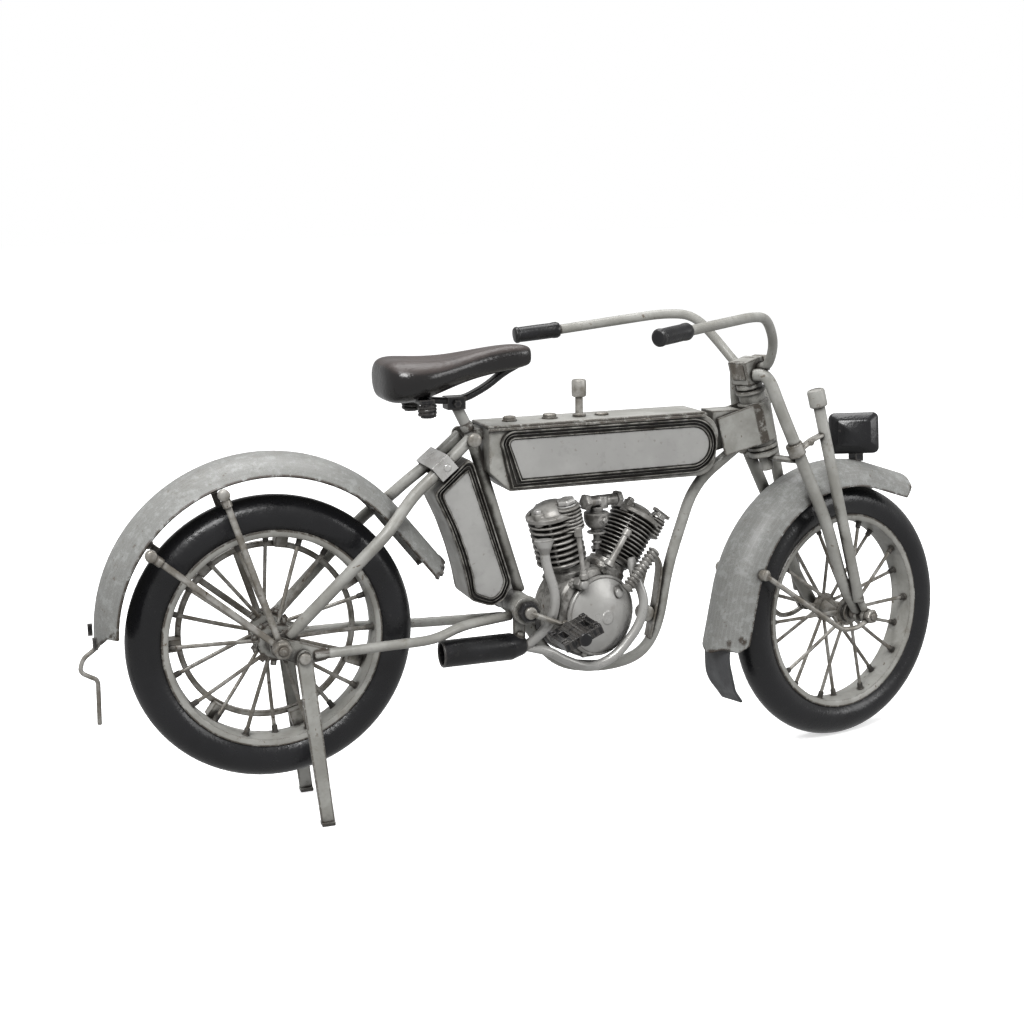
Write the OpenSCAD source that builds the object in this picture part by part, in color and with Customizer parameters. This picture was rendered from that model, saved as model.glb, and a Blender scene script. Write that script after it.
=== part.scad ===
// Display motorcycle of painted sheet metal and wire: an early V-twin with pedal crank,
// standing on its rear stand with the bars turned to the left.
// Millimetres. +X forward, +Y to the rider's left, +Z up. The origin is on the ground,
// under the middle of the whole model.

/* [Stance] */
// Distance between the wheel axles, bars straight
wheelbase = 204; // [200:1:208]
// Height of the rear tyre above the ground on its stand
stand_lift = 13.5; // [10:0.5:15]
// How far the bars are turned left at rest, in degrees
steer_angle = 13.5; // [0:0.5:20]
// Slope of the steering head from the vertical, in degrees
head_rake = 14; // [12:0.5:16]

/* [Wheels] */
// Outer diameter of both tyres
tyre_d = 90; // [88:1:91]
// Thickness of the tyre tube
tyre_section = 12.4; // [11:0.2:12.8]
// Number of spokes in a wheel
spoke_count = 20; // [12:2:28]
// Diameter of a spoke
spoke_d = 1.3; // [0.8:0.1:1.5]

/* [Frame] */
// Diameter of the frame tubes
frame_tube_d = 3.8; // [3.4:0.2:4.6]
// Diameter of the two lower stays
chain_stay_d = 3.2; // [2.8:0.2:4.4]
// Diameter of the exhaust pipes
exhaust_d = 3.2; // [2.8:0.2:4]
// Diameter of the fork legs
fork_tube_d = 4.2; // [3.6:0.2:4.4]
// Diameter of the steering stem
stem_d = 4.4; // [4:0.2:5]
// Radial running clearance of turning fits
running_gap = 0.05; // [0.03:0.01:0.08]

/* [Tank and toolbox] */
// Height of the tank
tank_h = 20.6; // [18:0.2:21]
// Width of the tank
tank_w = 16; // [14:0.5:18]
// Width of the toolbox
toolbox_w = 15; // [12:0.5:16]

/* [Engine] */
// Outer diameter of the crankcase
crankcase_d = 30.6; // [26:0.2:31]
// How far the engine is turned left in the frame, in degrees
engine_yaw = 16; // [0:1:18]
// Backward lean of the rear cylinder, in degrees
rear_lean = 14; // [8:1:16]
// Forward lean of the front cylinder, in degrees
front_lean = 36; // [34:1:38]
// Diameter of the cooling fins
fin_d = 16.8; // [14:0.2:17]

/* [Controls and saddle] */
// Diameter of the handlebar tube
bar_d = 3.2; // [2.6:0.2:3.4]
// Diameter of the grips
grip_d = 5.4; // [4.6:0.2:6]
// Half the width of the saddle at its rear
saddle_half_w = 15; // [12:0.5:16]

/* [Hidden] */
$fn = 48;

// Ground position of the rear axle in the model's own frame
rear_axle_x = -94.3;
mid_plane_y = 14.1;

tyre_r = tyre_d / 2;
tube_r = tyre_section / 2;
tyre_core_r = tyre_r - tube_r;
rear_axle_z = tyre_r + stand_lift;
front_axle_z = tyre_r;
frame_r = frame_tube_d / 2;
chain_stay_r = chain_stay_d / 2;
exhaust_r = exhaust_d / 2;
fork_r = fork_tube_d / 2;
stem_r = stem_d / 2;
bar_r = bar_d / 2;

// A point on the steering axis, in the middle of the head
head_x = 169;
head_z = 115.5;

// Wheel parts
rim_in_r = tyre_core_r - 6.4;
rim_seat_r = rim_in_r + 0.9;
rim_lip_r = rim_in_r + 2.3;
rim_half_w = 5;
rim_lip_t = 0.8;
rear_axle_r = 1.5;
front_axle_r = 1.3;

// Bottom bracket and pedal
bracket_x = 80.5;
bracket_z = 61.2;
spindle_r = 2;
pedal_x = 92.2;
pedal_z = 55.8;
pedal_pin_r = 1.1;
crank_arm_y = -16.4;

// Stand pivots, on plates behind the axle ends
pivot_x = 6.8;
pivot_z = 54.9;
pivot_r = 0.9;

// Engine frame
engine_x = 104.2;
engine_z = 56.5;
case_r = crankcase_d / 2;
case_half_w = 7.5;

// --- helpers ------------------------------------------------------------------

function unit(v) = v / norm(v);
function bezier2(a, b, c, t) = (1 - t) * (1 - t) * a + 2 * t * (1 - t) * b + t * t * c;

// Replaces every inner corner of a route by a smooth bend that starts bend mm before it
function smooth_route(route, bend, steps = 5) = [
    for (i = [0 : len(route) - 1])
        if (i == 0 || i == len(route) - 1) route[i]
        else
            let (
                before = route[i] - route[i - 1],
                after = route[i + 1] - route[i],
                start = route[i] - unit(before) * min(bend, norm(before) * 0.48),
                end = route[i] + unit(after) * min(bend, norm(after) * 0.48)
            )
            for (k = [0 : steps]) bezier2(start, route[i], end, k / steps)
];

function route_tangent(p, i) =
    unit(p[min(i + 1, len(p) - 1)] - p[max(i - 1, 0)]);

// Sweeps a closed 2D outline along a route. side_dir is never parallel to the route.
module sweep(route, outline, side_dir) {
    n = len(outline);
    m = len(route);
    points = [
        for (i = [0 : m - 1])
            let (
                t = route_tangent(route, i),
                u = unit(cross(side_dir, t)),
                v = cross(t, u)
            )
            for (q = outline) route[i] + u * q[0] + v * q[1]
    ];
    skin = [
        for (i = [0 : m - 2])
            for (k = [0 : n - 1])
                let (a = i * n + k, b = i * n + (k + 1) % n)
                for (face = [[a, a + n, b + n], [a, b + n, b]]) face
    ];
    caps = [
        [for (k = [0 : n - 1]) k],
        [for (k = [n - 1 : -1 : 0]) (m - 1) * n + k]
    ];
    polyhedron(points = points, faces = concat(skin, caps));
}

function round_outline(r, sides = 12) =
    [for (k = [0 : sides - 1]) r * [cos(360 * k / sides), sin(360 * k / sides)]];

// A flat section whose width lies across the route's own plane
function flat_outline(w, t) =
    [[t / 2, w / 2], [-t / 2, w / 2], [-t / 2, -w / 2], [t / 2, -w / 2]];

module bent_tube(route, r, bend = 6, side_dir = [0, 1, 0], sides = 12, steps = 5) {
    sweep(smooth_route(route, bend, steps), round_outline(r, sides), side_dir);
}

module bent_strip(route, w, t, bend = 4, side_dir = [0, 1, 0], steps = 5) {
    sweep(smooth_route(route, bend, steps), flat_outline(w, t), side_dir);
}

// Round bar from one point to another
module rod(a, b, r1, r2 = 0) {
    d = b - a;
    translate(a)
        rotate([0, acos(d[2] / norm(d)), atan2(d[1], d[0])])
            cylinder(h = norm(d), r1 = r1, r2 = r2 == 0 ? r1 : r2);
}

// Cylinder along Y between two Y values
module y_cylinder(x, z, y_low, y_high, r) {
    translate([x, y_high, z])
        rotate([90, 0, 0])
            cylinder(h = y_high - y_low, r = r);
}

// Hexagonal nut along Y
module y_hex(x, z, y_low, y_high, r) {
    translate([x, y_high, z])
        rotate([90, 0, 0])
            cylinder(h = y_high - y_low, r = r, $fn = 6);
}

function arc_points(cx, cy, r, from, to, steps = 10) = [
    for (k = [0 : steps])
        let (a = from + (to - from) * k / steps)
        [cx + r * cos(a), cy + r * sin(a)]
];

// Extrudes a side view (X, Z) between two Y values
module side_plate(outline, y_low, y_high) {
    translate([0, y_high, 0])
        rotate([90, 0, 0])
            linear_extrude(height = y_high - y_low) polygon(outline);
}

module placed() {
    translate([rear_axle_x, mid_plane_y, 0]) children();
}

module head_frame() {
    translate([head_x, 0, head_z]) rotate([0, -head_rake, 0]) children();
}

// Turns the straight-ahead front end about the steering axis
module steered() {
    placed()
        head_frame()
            rotate([0, 0, steer_angle])
                rotate([0, head_rake, 0])
                    translate([-head_x, 0, -head_z]) children();
}

module engine_frame() {
    placed()
        translate([engine_x, 0, engine_z])
            rotate([0, 0, engine_yaw]) children();
}

module both_sides() {
    children();
    mirror([0, 1, 0]) children();
}

// --- frame --------------------------------------------------------------------

head_tube_r = 4.4;
lug_t = 1;
lug_len = 16.5;
lug_half_h = 7;

// Sheet plate wrapped round the head tube, with its two collars
module head_lug() {
    color("silver")
        placed()
            head_frame()
                difference() {
                    union() {
                        translate([0, 0, -9.6]) cylinder(h = 21, r = head_tube_r);
                        translate([0, 0, -lug_half_h])
                            cylinder(h = 2 * lug_half_h, r = head_tube_r + lug_t);
                        translate([0, 0, 10.2]) cylinder(h = 1.2, r = head_tube_r + 0.7);
                        translate([0, 0, -9.6]) cylinder(h = 1.2, r = head_tube_r + 0.7);
                        for (side = [-1, 1])
                            translate([-lug_len, side * (head_tube_r + lug_t / 2) - lug_t / 2, -lug_half_h])
                                cube([lug_len, lug_t, 2 * lug_half_h]);
                    }
                    translate([0, 0, -11]) cylinder(h = 24, r = stem_r + running_gap);
                }
}

top_tube_z = 117.6;

module top_tube() {
    color("rosybrown")
        placed()
            union() {
                rod([67.5, 0, top_tube_z], [152, 0, top_tube_z], 2);
                translate([150, -4.3, 115]) cube([10.6, 8.6, 5.4]);
            }
}

module seat_tube() {
    color("dimgray")
        placed()
            difference() {
                rod([82.4, 0, 64.6], [66.4, 0, 118.6], frame_r);
                y_cylinder(bracket_x, bracket_z, -10, 10, 4.2);
            }
}

// Runs from the head, down in front of the engine and back under it to the bracket
module down_tube() {
    color("lightgray")
        placed()
            bent_tube(
                [[163.4, 0, 108.4], [145.4, 0, 95.6], [135.8, 0, 68], [132, 0, 46.6],
                 [125, 0, 37.4], [110, 0, 35.4], [94, 0, 38.9], [82.4, 0, 56.8]],
                frame_r, bend = 9);
}

// Slotted plate that holds the axle end and the stand pivot
module dropout(y_low, y_high) {
    difference() {
        hull() {
            y_cylinder(0, rear_axle_z, y_low, y_high, 3.2, $fn = 32);
            y_cylinder(pivot_x, pivot_z, y_low, y_high, 2.6, $fn = 32);
            y_cylinder(13, 55, y_low, y_high, 2, $fn = 32);
        }
        y_cylinder(0, rear_axle_z, y_low - 1, y_high + 1, rear_axle_r);
        y_cylinder(pivot_x, pivot_z, y_low - 1, y_high + 1, pivot_r);
    }
}

// The right stay steps up in front of the tyre. The left one runs straight.
module chain_stays() {
    color("silver")
        placed() {
            union() {
                dropout(-15, -13.6);
                bent_tube(
                    [[11, -14.3, 54.9], [49, -13, 55.1], [60, -8.6, 57.5], [76.8, -7, 58.7]],
                    chain_stay_r, bend = 5);
            }
            union() {
                dropout(13.6, 15);
                bent_tube(
                    [[11, 14.3, 54.9], [34, 13.4, 54.9], [50, 9, 55], [78.8, 6.4, 54.8]],
                    chain_stay_r, bend = 6);
            }
        }
}

module seat_stay_eye(y_low, y_high) {
    difference() {
        hull() {
            y_cylinder(0, rear_axle_z, y_low, y_high, 3, $fn = 32);
            y_cylinder(4.4, rear_axle_z + 4.2, y_low, y_high, 2, $fn = 32);
        }
        y_cylinder(0, rear_axle_z, y_low - 1, y_high + 1, rear_axle_r);
    }
}

module seat_stays() {
    color("silver")
        placed()
            both_sides()
                union() {
                    seat_stay_eye(-13.3, -12);
                    bent_tube(
                        [[3.6, -12.7, 61.9], [35, -15.1, 91.6], [42, -9.6, 97.8], [46.4, -8, 102], [55.6, -6.4, 108.9], [65, -5.6, 117.2]],
                        frame_r, bend = 4);
                }
}

// Bright band folded round both seat stays
module stay_clamp() {
    color("gainsboro")
        placed()
            translate([55.4, 0, 108.9])
                rotate([0, -39, 0])
                    difference() {
                        translate([-3.3, -9.1, -2.8]) cube([6.6, 18.2, 5.6]);
                        translate([-5, -8.4, -2.1]) cube([10, 16.8, 4.2]);
                    }
}

// Round-headed bolts: seat cluster, fender stays and stand pivots
module frame_bolts() {
    color("gray")
        placed() {
            y_cylinder(65.4, 117, -9.6, -7.8, 2.3);
            y_cylinder(65.4, 117, 7.8, 9.6, 2.3);
            both_sides() {
                y_cylinder(-14.6, 106.7, -15.1, -13.7, 1.8);
                y_cylinder(-36.8, 90.2, -15.1, -13.7, 1.8);
                union() {
                    y_cylinder(pivot_x, pivot_z, -17.4, -13.6, pivot_r);
                    y_cylinder(pivot_x, pivot_z, -18.2, -17.4, 1.9);
                }
            }
        }
}

module bracket_sleeve() {
    color("silver")
        placed()
            difference() {
                union() {
                    y_cylinder(bracket_x, bracket_z, -13, 13, 4.2);
                    translate([bracket_x - 3.6, -9.6, 51]) cube([4, 1.2, 10]);
                }
                y_cylinder(bracket_x, bracket_z, -14, 14, spindle_r + running_gap);
            }
}

module rear_axle() {
    color("gray")
        placed()
            union() {
                y_cylinder(0, rear_axle_z, -19.7, 19.7, rear_axle_r);
                both_sides() {
                    y_cylinder(0, rear_axle_z, -12, -9.4, 2.4);
                    y_hex(0, rear_axle_z, -19.1, -16.5, 3);
                }
            }
}

// --- tank ---------------------------------------------------------------------

tank_top_z = 120.2;
tank_low_z = tank_top_z - tank_h;
tank_half_w = tank_w / 2;

tank_outline = concat(
    [[70.4, 106], [77, tank_low_z]],
    arc_points(143.2, tank_low_z + 6.6, 6.6, -90, 0, 8),
    arc_points(143.2, tank_top_z - 7.4, 7.4, 0, 84, 8),
    [[70.4, tank_top_z]]
);

module tank_shell() {
    color("dimgray")
        placed()
            difference() {
                side_plate(tank_outline, -tank_half_w, tank_half_w);
                rod([60, 0, top_tube_z], [160, 0, top_tube_z], 2);
            }
}

module tank_lid() {
    color("gainsboro")
        placed()
            union() {
                translate([70, -tank_half_w - 0.5, tank_top_z]) cube([75.4, tank_w + 1, 0.9]);
                for (side = [-1, 1])
                    translate([70, side * (tank_half_w + 0.45) - 0.45, tank_top_z - 0.9]) cube([75.4, 0.9, 0.9]);
            }
}

// Outline of the tank's side panel, drawn in by d
function panel_outline(d) = concat(
    [[77.4 + 1.3 * d, tank_low_z + 1 + d]],
    arc_points(140.6, tank_top_z - 10.1, 9.1 - d, -90, 90, 16),
    arc_points(78.8, tank_top_z - 5.6, 4.6 - d, 90, 176, 6)
);

// Dark double bead round a light raised panel, on both sides of the tank
module tank_panels() {
    color("lightsteelblue")
        placed()
            both_sides()
                union() {
                    side_plate(panel_outline(1.6), -tank_half_w - 0.6, -tank_half_w);
                    for (d = [0, 2])
                        difference() {
                            side_plate(panel_outline(d), -tank_half_w - 1.2, -tank_half_w);
                            side_plate(panel_outline(d + 0.9), -tank_half_w - 2, -tank_half_w + 1);
                        }
                }
}

module tank_fittings() {
    color("silver")
        placed() {
            for (x = [80, 93.8])
                translate([x, 0, tank_top_z + 0.9]) cylinder(h = 1.6, r = 2, $fn = 6);
            translate([112, 0, tank_top_z + 0.9]) cylinder(h = 0.8, r = 2.1);
        }
}

module oil_pump() {
    color("darkgray")
        placed()
            translate([104.1, 0, tank_top_z + 0.9])
                union() {
                    cylinder(h = 7, r = 1.25);
                    translate([0, 0, 6.4]) cylinder(h = 6, r = 2.4);
                }
}

// --- toolbox ------------------------------------------------------------------

toolbox_half_w = toolbox_w / 2;

// Side view of the toolbox, drawn in by d: it leans with the seat tube and narrows downwards
function toolbox_outline(d) = [
    [51.8 + d * 1.1, 100.8 - d * 0.2], [63, 110.9 - d * 1.4], [64.8 - d * 0.6, 110.4 - d * 1.4],
    [77 - d, 69.6 + d * 0.4], [74.4 - d * 0.6, 64.4 + d], [70.2, 62.6 + d], [63 + d * 0.6, 65.2 + d],
    [61.6 + d, 73], [59.6 + d, 81], [56.6 + d, 90]
];

module toolbox_shell() {
    color("silver")
        placed()
            side_plate(toolbox_outline(0), -toolbox_half_w, toolbox_half_w);
}

module toolbox_panels() {
    color("lightsteelblue")
        placed()
            both_sides()
                union() {
                    side_plate(toolbox_outline(1.6), -toolbox_half_w - 0.6, -toolbox_half_w);
                    for (d = [0, 1.7])
                        difference() {
                            side_plate(toolbox_outline(d), -toolbox_half_w - 1.1, -toolbox_half_w);
                            side_plate(toolbox_outline(d + 0.8), -toolbox_half_w - 2, -toolbox_half_w + 1);
                        }
                }
}

// --- fenders ------------------------------------------------------------------

fender_t = 0.9;
fender_lap = 0.4;
fender_skin = 0.03;

// Half-round section of a fender: radius of its crown, its drop and half its width
// The skin is drawn in by a hair where one stretch is let into another.
module fender_section(crown_r, drop, half_w, skin = 0) {
    arc_r = (drop * drop + half_w * half_w) / (2 * drop);
    intersection() {
        translate([crown_r - arc_r, 0])
            difference() {
                circle(r = arc_r - skin, $fn = 96);
                circle(r = arc_r - fender_t + skin, $fn = 96);
            }
        translate([crown_r - drop + skin, -half_w - 1]) square([drop + 1, 2 * half_w + 2]);
    }
}

// Arc of a fender about the Y axis, with straight ends that leave it along its tangent
module fender(crown_r, drop, half_w, front_angle, rear_angle, front_len, rear_len) {
    rotate([90, 0, 0])
        union() {
            rotate([0, 0, front_angle])
                rotate_extrude(angle = rear_angle - front_angle, $fn = 128)
                    fender_section(crown_r, drop, half_w);
            rotate([0, 0, front_angle])
                rotate([90, 0, 0])
                    translate([0, 0, -fender_lap])
                        linear_extrude(height = front_len + fender_lap)
                            fender_section(crown_r, drop, half_w, fender_skin);
            rotate([0, 0, rear_angle])
                rotate([-90, 0, 0])
                    translate([0, 0, -fender_lap])
                        linear_extrude(height = rear_len + fender_lap)
                            fender_section(crown_r, drop, half_w, fender_skin);
        }
}

rear_fender_r = 53.4;
rear_fender_drop = 5.9;

module rear_fender() {
    color("silver")
        placed()
            difference() {
                translate([-0.3, 0, rear_axle_z + 5])
                    fender(rear_fender_r, rear_fender_drop, 11.9, 38, 178, 25, 2);
                for (side = [-1, 1])
                    translate([-62, 0, 0])
                        rotate([90, 0, 90])
                            linear_extrude(height = 24)
                                polygon([[side * 5, 59], [side * 15, 59], [side * 15, 73], [side * 12.6, 71]]);
            }
}

module fender_stay(x, z) {
    difference() {
        union() {
            hull() {
                y_cylinder(0, rear_axle_z, -16.4, -15.5, 1.1, $fn = 32);
                y_cylinder(x, z, -13.6, -12.6, 1.1, $fn = 32);
            }
            y_cylinder(0, rear_axle_z, -16.4, -15.5, 2.5);
        }
        y_cylinder(0, rear_axle_z, -17, -14, rear_axle_r);
    }
}

module rear_fender_stays() {
    color("darkgray")
        placed()
            both_sides()
                union() {
                    fender_stay(-14.6, 106.7);
                    fender_stay(-36.8, 90.2);
                }
}

// Spring wire at the tail that holds the raised stand
module stand_clip() {
    color("gray")
        placed()
            bent_tube(
                [[-52.2, 0, 62], [-53.4, 0, 60.4], [-57.4, 0, 57.6], [-58.6, 0, 53.6],
                 [-55.8, 0, 51.8], [-53.4, 0, 50.6], [-53.8, 0, 36.4]],
                0.7, bend = 1.6, sides = 8, steps = 3);
}

// --- saddle -------------------------------------------------------------------

module seat_post() {
    color("lightgray")
        placed()
            rod([66.4, 0, 118.6], [61.6, 0, 128.4], 1.8);
}

// Black strap that carries the saddle from the post to the nose
module saddle_frame() {
    color([0.1, 0.1, 0.1])
        placed()
            union() {
                bent_strip(
                    [[47, 0, 130.4], [58, 0, 128.9], [65, 0, 129.2], [72.5, 0, 132.8], [78, 0, 136.8], [83.5, 0, 139.4]],
                    4, 2, bend = 3);
                translate([47, -11.4, 129.6]) cube([5, 22.8, 1.4]);
            }
}

module saddle_springs() {
    color([0.1, 0.1, 0.1])
        placed()
            both_sides()
                translate([50, -9.4, 0])
                    union() {
                        translate([0, 0, 125.2]) cylinder(h = 4.4, r = 2.1);
                        for (turn = [0 : 2])
                            translate([0, 0, 125.8 + 1.4 * turn])
                                rotate_extrude() translate([2.4, 0]) circle(r = 0.65, $fn = 16);
                    }
}

module saddle() {
    color([0.16, 0.13, 0.12])
        placed()
            hull() {
                for (side = [-1, 1]) {
                    translate([44, side * (saddle_half_w - 7.2), 136.6]) sphere(r = 7.2, $fn = 32);
                    translate([46, side * (saddle_half_w - 5.6), 134.6]) sphere(r = 4.6, $fn = 32);
                }
                translate([76, 0, 141.2]) sphere(r = 4.3, $fn = 32);
                translate([83.6, 0, 142]) sphere(r = 3.8, $fn = 32);
            }
}

// --- engine -------------------------------------------------------------------

module crankcase() {
    color("gray")
        engine_frame()
            union() {
                rotate([90, 0, 0])
                    rotate_extrude($fn = 96)
                        polygon([[0, -case_half_w], [case_r - 1, -case_half_w], [case_r, 1 - case_half_w],
                                 [case_r, case_half_w - 1], [case_r - 1, case_half_w], [0, case_half_w]]);
                for (lean = [-rear_lean, front_lean])
                    rotate([0, lean, 0]) translate([0, 0, 10]) cylinder(h = 7.4, r = 6.4);
            }
}

// Domed cover: a flat ring and a shallow spherical cap
module domed_cover(ring_r, cap_r, bulge) {
    ball_r = (cap_r * cap_r + bulge * bulge) / (2 * bulge);
    union() {
        cylinder(h = 1.4, r = ring_r);
        intersection() {
            translate([0, 0, 1.4 + bulge - ball_r]) sphere(r = ball_r, $fn = 96);
            cylinder(h = 1.4 + bulge, r = cap_r);
        }
    }
}

// The timing cover on the right, with two bolt heads, and the plain cover on the left
module engine_covers() {
    color("silver")
        engine_frame() {
            union() {
                translate([1.6, -case_half_w, -1]) rotate([90, 0, 0]) domed_cover(13.6, 12.6, 3.4);
                for (bolt = [[-7.2, 11.4], [7.2, 6.2]])
                    y_cylinder(bolt[0], bolt[1], -case_half_w - 4.6, -case_half_w, 1.6);
            }
            translate([0, case_half_w, 0]) rotate([-90, 0, 0]) domed_cover(13, 12, 3);
        }
}

// Finned barrel, standing on its base
module finned_barrel(base, top, fins) {
    pitch = (top - base) / fins;
    union() {
        translate([0, 0, 17.4]) cylinder(h = top - 17.4, r = fin_d / 2 - 2.2);
        for (fin = [0 : fins - 1])
            translate([0, 0, base + pitch * fin]) cylinder(h = pitch * 0.45, r = fin_d / 2);
    }
}

module cylinder_rear() {
    color("gray")
        engine_frame()
            translate([-3.4, 0, 0])
                rotate([0, -rear_lean, 0]) finned_barrel(18.6, 34, 9);
}

module cylinder_front() {
    color("gray")
        engine_frame()
            translate([2.6, 0, 0])
                rotate([0, front_lean, 0]) finned_barrel(18.6, 34, 10);
}

// Cylinder head with a valve chest beside it and a hexagonal valve cap
module cylinder_head(chest_x, chest_y, chest_r, chest_low) {
    union() {
        translate([0, 0, 34]) cylinder(h = 2, r = 8.6);
        translate([0, 0, 36]) cylinder(h = 2.6, r1 = 6.8, r2 = 4.2);
        translate([chest_x, chest_y, chest_low]) cylinder(h = 37.8 - chest_low, r = chest_r);
        translate([chest_x, chest_y, 37.8]) cylinder(h = 2, r = chest_r - 1, $fn = 6);
        translate([-6.4, -2, 34]) cylinder(h = 3.8, r = 1.9);
    }
}

module cylinder_heads() {
    color("darkgray")
        engine_frame() {
            translate([-3.4, 0, 0]) rotate([0, -rear_lean, 0]) cylinder_head(2.8, -5.6, 4.3, 29);
            translate([2.6, 0, 0]) rotate([0, front_lean, 0]) cylinder_head(6.2, -3.6, 3.4, 31.4);
        }
}

module pushrods() {
    color("silver")
        engine_frame() {
            rod([-7.2, -11.1, 13.2], [-8.4, -9.3, 30], 0.8);
            rod([4.4, -9.2, 15.5], [12.6, -9.6, 26.6], 1.2, 0.9);
        }
}

// Short corrugated hose from the timing cover to the front rocker
module spring_hose() {
    a = [8.6, -13.2, 7.6];
    b = [20.4, -14, 19.4];
    lean = atan2(b[0] - a[0], b[2] - a[2]);
    length = norm(b - a);
    color("darkgray")
        engine_frame()
            translate(a)
                rotate([0, lean, 0])
                    union() {
                        cylinder(h = length, r = 1.5);
                        for (ring = [1 : 11])
                            translate([0, 0, ring * length / 12]) cylinder(h = 0.7, r = 2.2);
                    }
}

module intake_manifold() {
    color("gray")
        engine_frame()
            union() {
                rod([-1.5, -3.6, 36.6], [14, -3.6, 36.2], 1.9);
                rod([-1.3, -3.6, 36.6], [0.5, -3.6, 36.6], 2.8);
                rod([11.6, -3.6, 36.3], [13.6, -3.6, 36.2], 2.8);
            }
}

module carburettor() {
    color("dimgray")
        engine_frame()
            translate([3.8, -3.6, 0])
                union() {
                    translate([0, 0, 32.8]) cylinder(h = 1.9, r = 2.2);
                    translate([0, 0, 28]) cylinder(h = 4.8, r1 = 2.8, r2 = 4.2);
                    translate([0, 0, 25.8]) cylinder(h = 2.2, r = 2.4);
                    translate([0, 0, 20.4]) cylinder(h = 5.4, r = 1.2);
                    translate([0, -5, 30.6]) rotate([-90, 0, 0]) cylinder(h = 4, r = 1.4);
                }
}

module exhaust_pipes() {
    color("lightgray")
        placed() {
            union() {
                rod([86.6, -12.4, 84], [86.8, -12.8, 79.6], 3.3, exhaust_r);
                bent_tube(
                    [[86.6, -12.6, 82], [87, -13, 76], [90.6, -13, 65], [88.6, -12.9, 56], [81.6, -9.6, 48.8]],
                    exhaust_r, bend = 5);
            }
            bent_tube(
                [[120.6, -3.4, 73], [121.2, -5.4, 67.6], [124, -8, 59], [121.4, -9, 51],
                 [113, -9, 41.4], [103.5, -9, 38], [94, -9, 42.4], [89, -9.4, 46], [80, -9, 48.8]],
                exhaust_r, bend = 4.6);
        }
}

muffler_x = 52.4;
muffler_z = 48.9;

module muffler() {
    color([0.12, 0.12, 0.13])
        placed()
            translate([muffler_x, -9, muffler_z])
                rotate([0, 90, 0])
                    difference() {
                        union() {
                            cylinder(h = 24, r = 4.4);
                            translate([0, 0, 24]) cylinder(h = 4.6, r1 = 4.4, r2 = 2.6);
                        }
                        translate([0, 0, -1]) cylinder(h = 17, r = 3.6);
                        translate([0, 0, 26]) cylinder(h = 4, r = exhaust_r + 0.05);
                    }
}

// Flat strap that loops from the crankcase to the down tube, with its disc
module engine_strap() {
    color("lightgray")
        placed()
            union() {
                bent_strip(
                    [[125.2, 0, 61.5], [127.4, 0, 70], [130.4, 0, 73.4], [132.8, 0, 69], [131.2, 0, 57], [128.4, 0, 44]],
                    5, 0.9, bend = 3);
                y_cylinder(127.4, 52.6, -2.4, 2.4, 2.8);
            }
}

// --- front end, drawn straight ahead ------------------------------------------

front_axle_x = wheelbase;
bar_clamp_x = 167;
bar_clamp_z = 133.6;

module fork_stem() {
    color("silver")
        steered()
            difference() {
                union() {
                    head_frame() {
                        translate([0, 0, -17.6]) cylinder(h = 31, r = stem_r);
                        translate([0, 0, -12.2]) cylinder(h = 2.2, r = head_tube_r + 0.6);
                        translate([0, 0, 11.8]) cylinder(h = 1.8, r = head_tube_r);
                        translate([-3.6, -4.4, 13.6]) cube([8, 8.8, 8]);
                    }
                    translate([176.4, 0, 102]) rotate([0, 14, 0]) cube([9, 24, 1.8], center = true);
                }
                y_cylinder(bar_clamp_x, bar_clamp_z, -6, 6, bar_r);
            }
}

module fork_eye(y_low, y_high) {
    difference() {
        y_cylinder(front_axle_x, front_axle_z, y_low, y_high, 2.6);
        y_cylinder(front_axle_x, front_axle_z, y_low - 1, y_high + 1, front_axle_r);
    }
}

// Each leg bends over at the top into the block above the head
module fork_legs() {
    color("silver")
        steered()
            both_sides()
                union() {
                    fork_eye(-12.4, -11);
                    bent_tube(
                        [[164, -4.2, 131.4], [167, -8.2, 131.4], [169.6, -11.2, 120], [174.8, -13.2, 106],
                         [187.6, -13, 80], [195.6, -12, 58], [202.6, -11.7, 47]],
                        fork_r, bend = 5, side_dir = [0.3, 1, 0.1]);
                }
}

module spring_tube() {
    union() {
        difference() {
            y_cylinder(front_axle_x, front_axle_z, -16, -14.6, 2.6);
            y_cylinder(front_axle_x, front_axle_z, -17, -14, front_axle_r);
        }
        rod([203.2, -15.3, 46.8], [200, -15.3, 52.6], 1.3);
        rod([200.4, -15.3, 50.6], [184.2, -13.6, 121.4], 1.95);
        rod([184.5, -13.7, 119.6], [183.1, -13.5, 125.8], 3);
    }
}

module spring_tubes() {
    color("silver")
        steered()
            both_sides() spring_tube();
}

// Band round each fork leg with a flat link to the spring tube
module fork_clamps() {
    color("lightgray")
        steered()
            both_sides()
                union() {
                    difference() {
                        rod([173.6, -12.9, 107.9], [175.4, -13.1, 104], 2.9);
                        rod([172.7, -12.8, 109.85], [176.3, -13.2, 102.05], fork_r);
                    }
                    bent_strip([[177, -13.4, 106.4], [181, -13.6, 108.6], [185.4, -13.8, 110]], 1.2, 3.2, bend = 1);
                }
}

module front_axle() {
    color("gray")
        steered()
            union() {
                y_cylinder(front_axle_x, front_axle_z, -19.2, 19.2, front_axle_r);
                both_sides() {
                    y_cylinder(front_axle_x, front_axle_z, -11, -8.4, 2);
                    y_hex(front_axle_x, front_axle_z, -18.6, -16.9, 2.6);
                }
            }
}

module front_fender() {
    color("silver")
        steered()
            translate([front_axle_x - 2, 0, front_axle_z + 1])
                fender(53, 9, 10.2, 72, 165, 17.6, 22);
}

// Rubber flap under the tail of the front fender
module mud_flap() {
    color([0.3, 0.31, 0.32])
        steered()
            bent_strip(
                [[149.6, 0, 42], [149, 0, 35], [150.6, 0, 27], [155.4, 0, 20.6]],
                13.4, 1, bend = 4);
}

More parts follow.
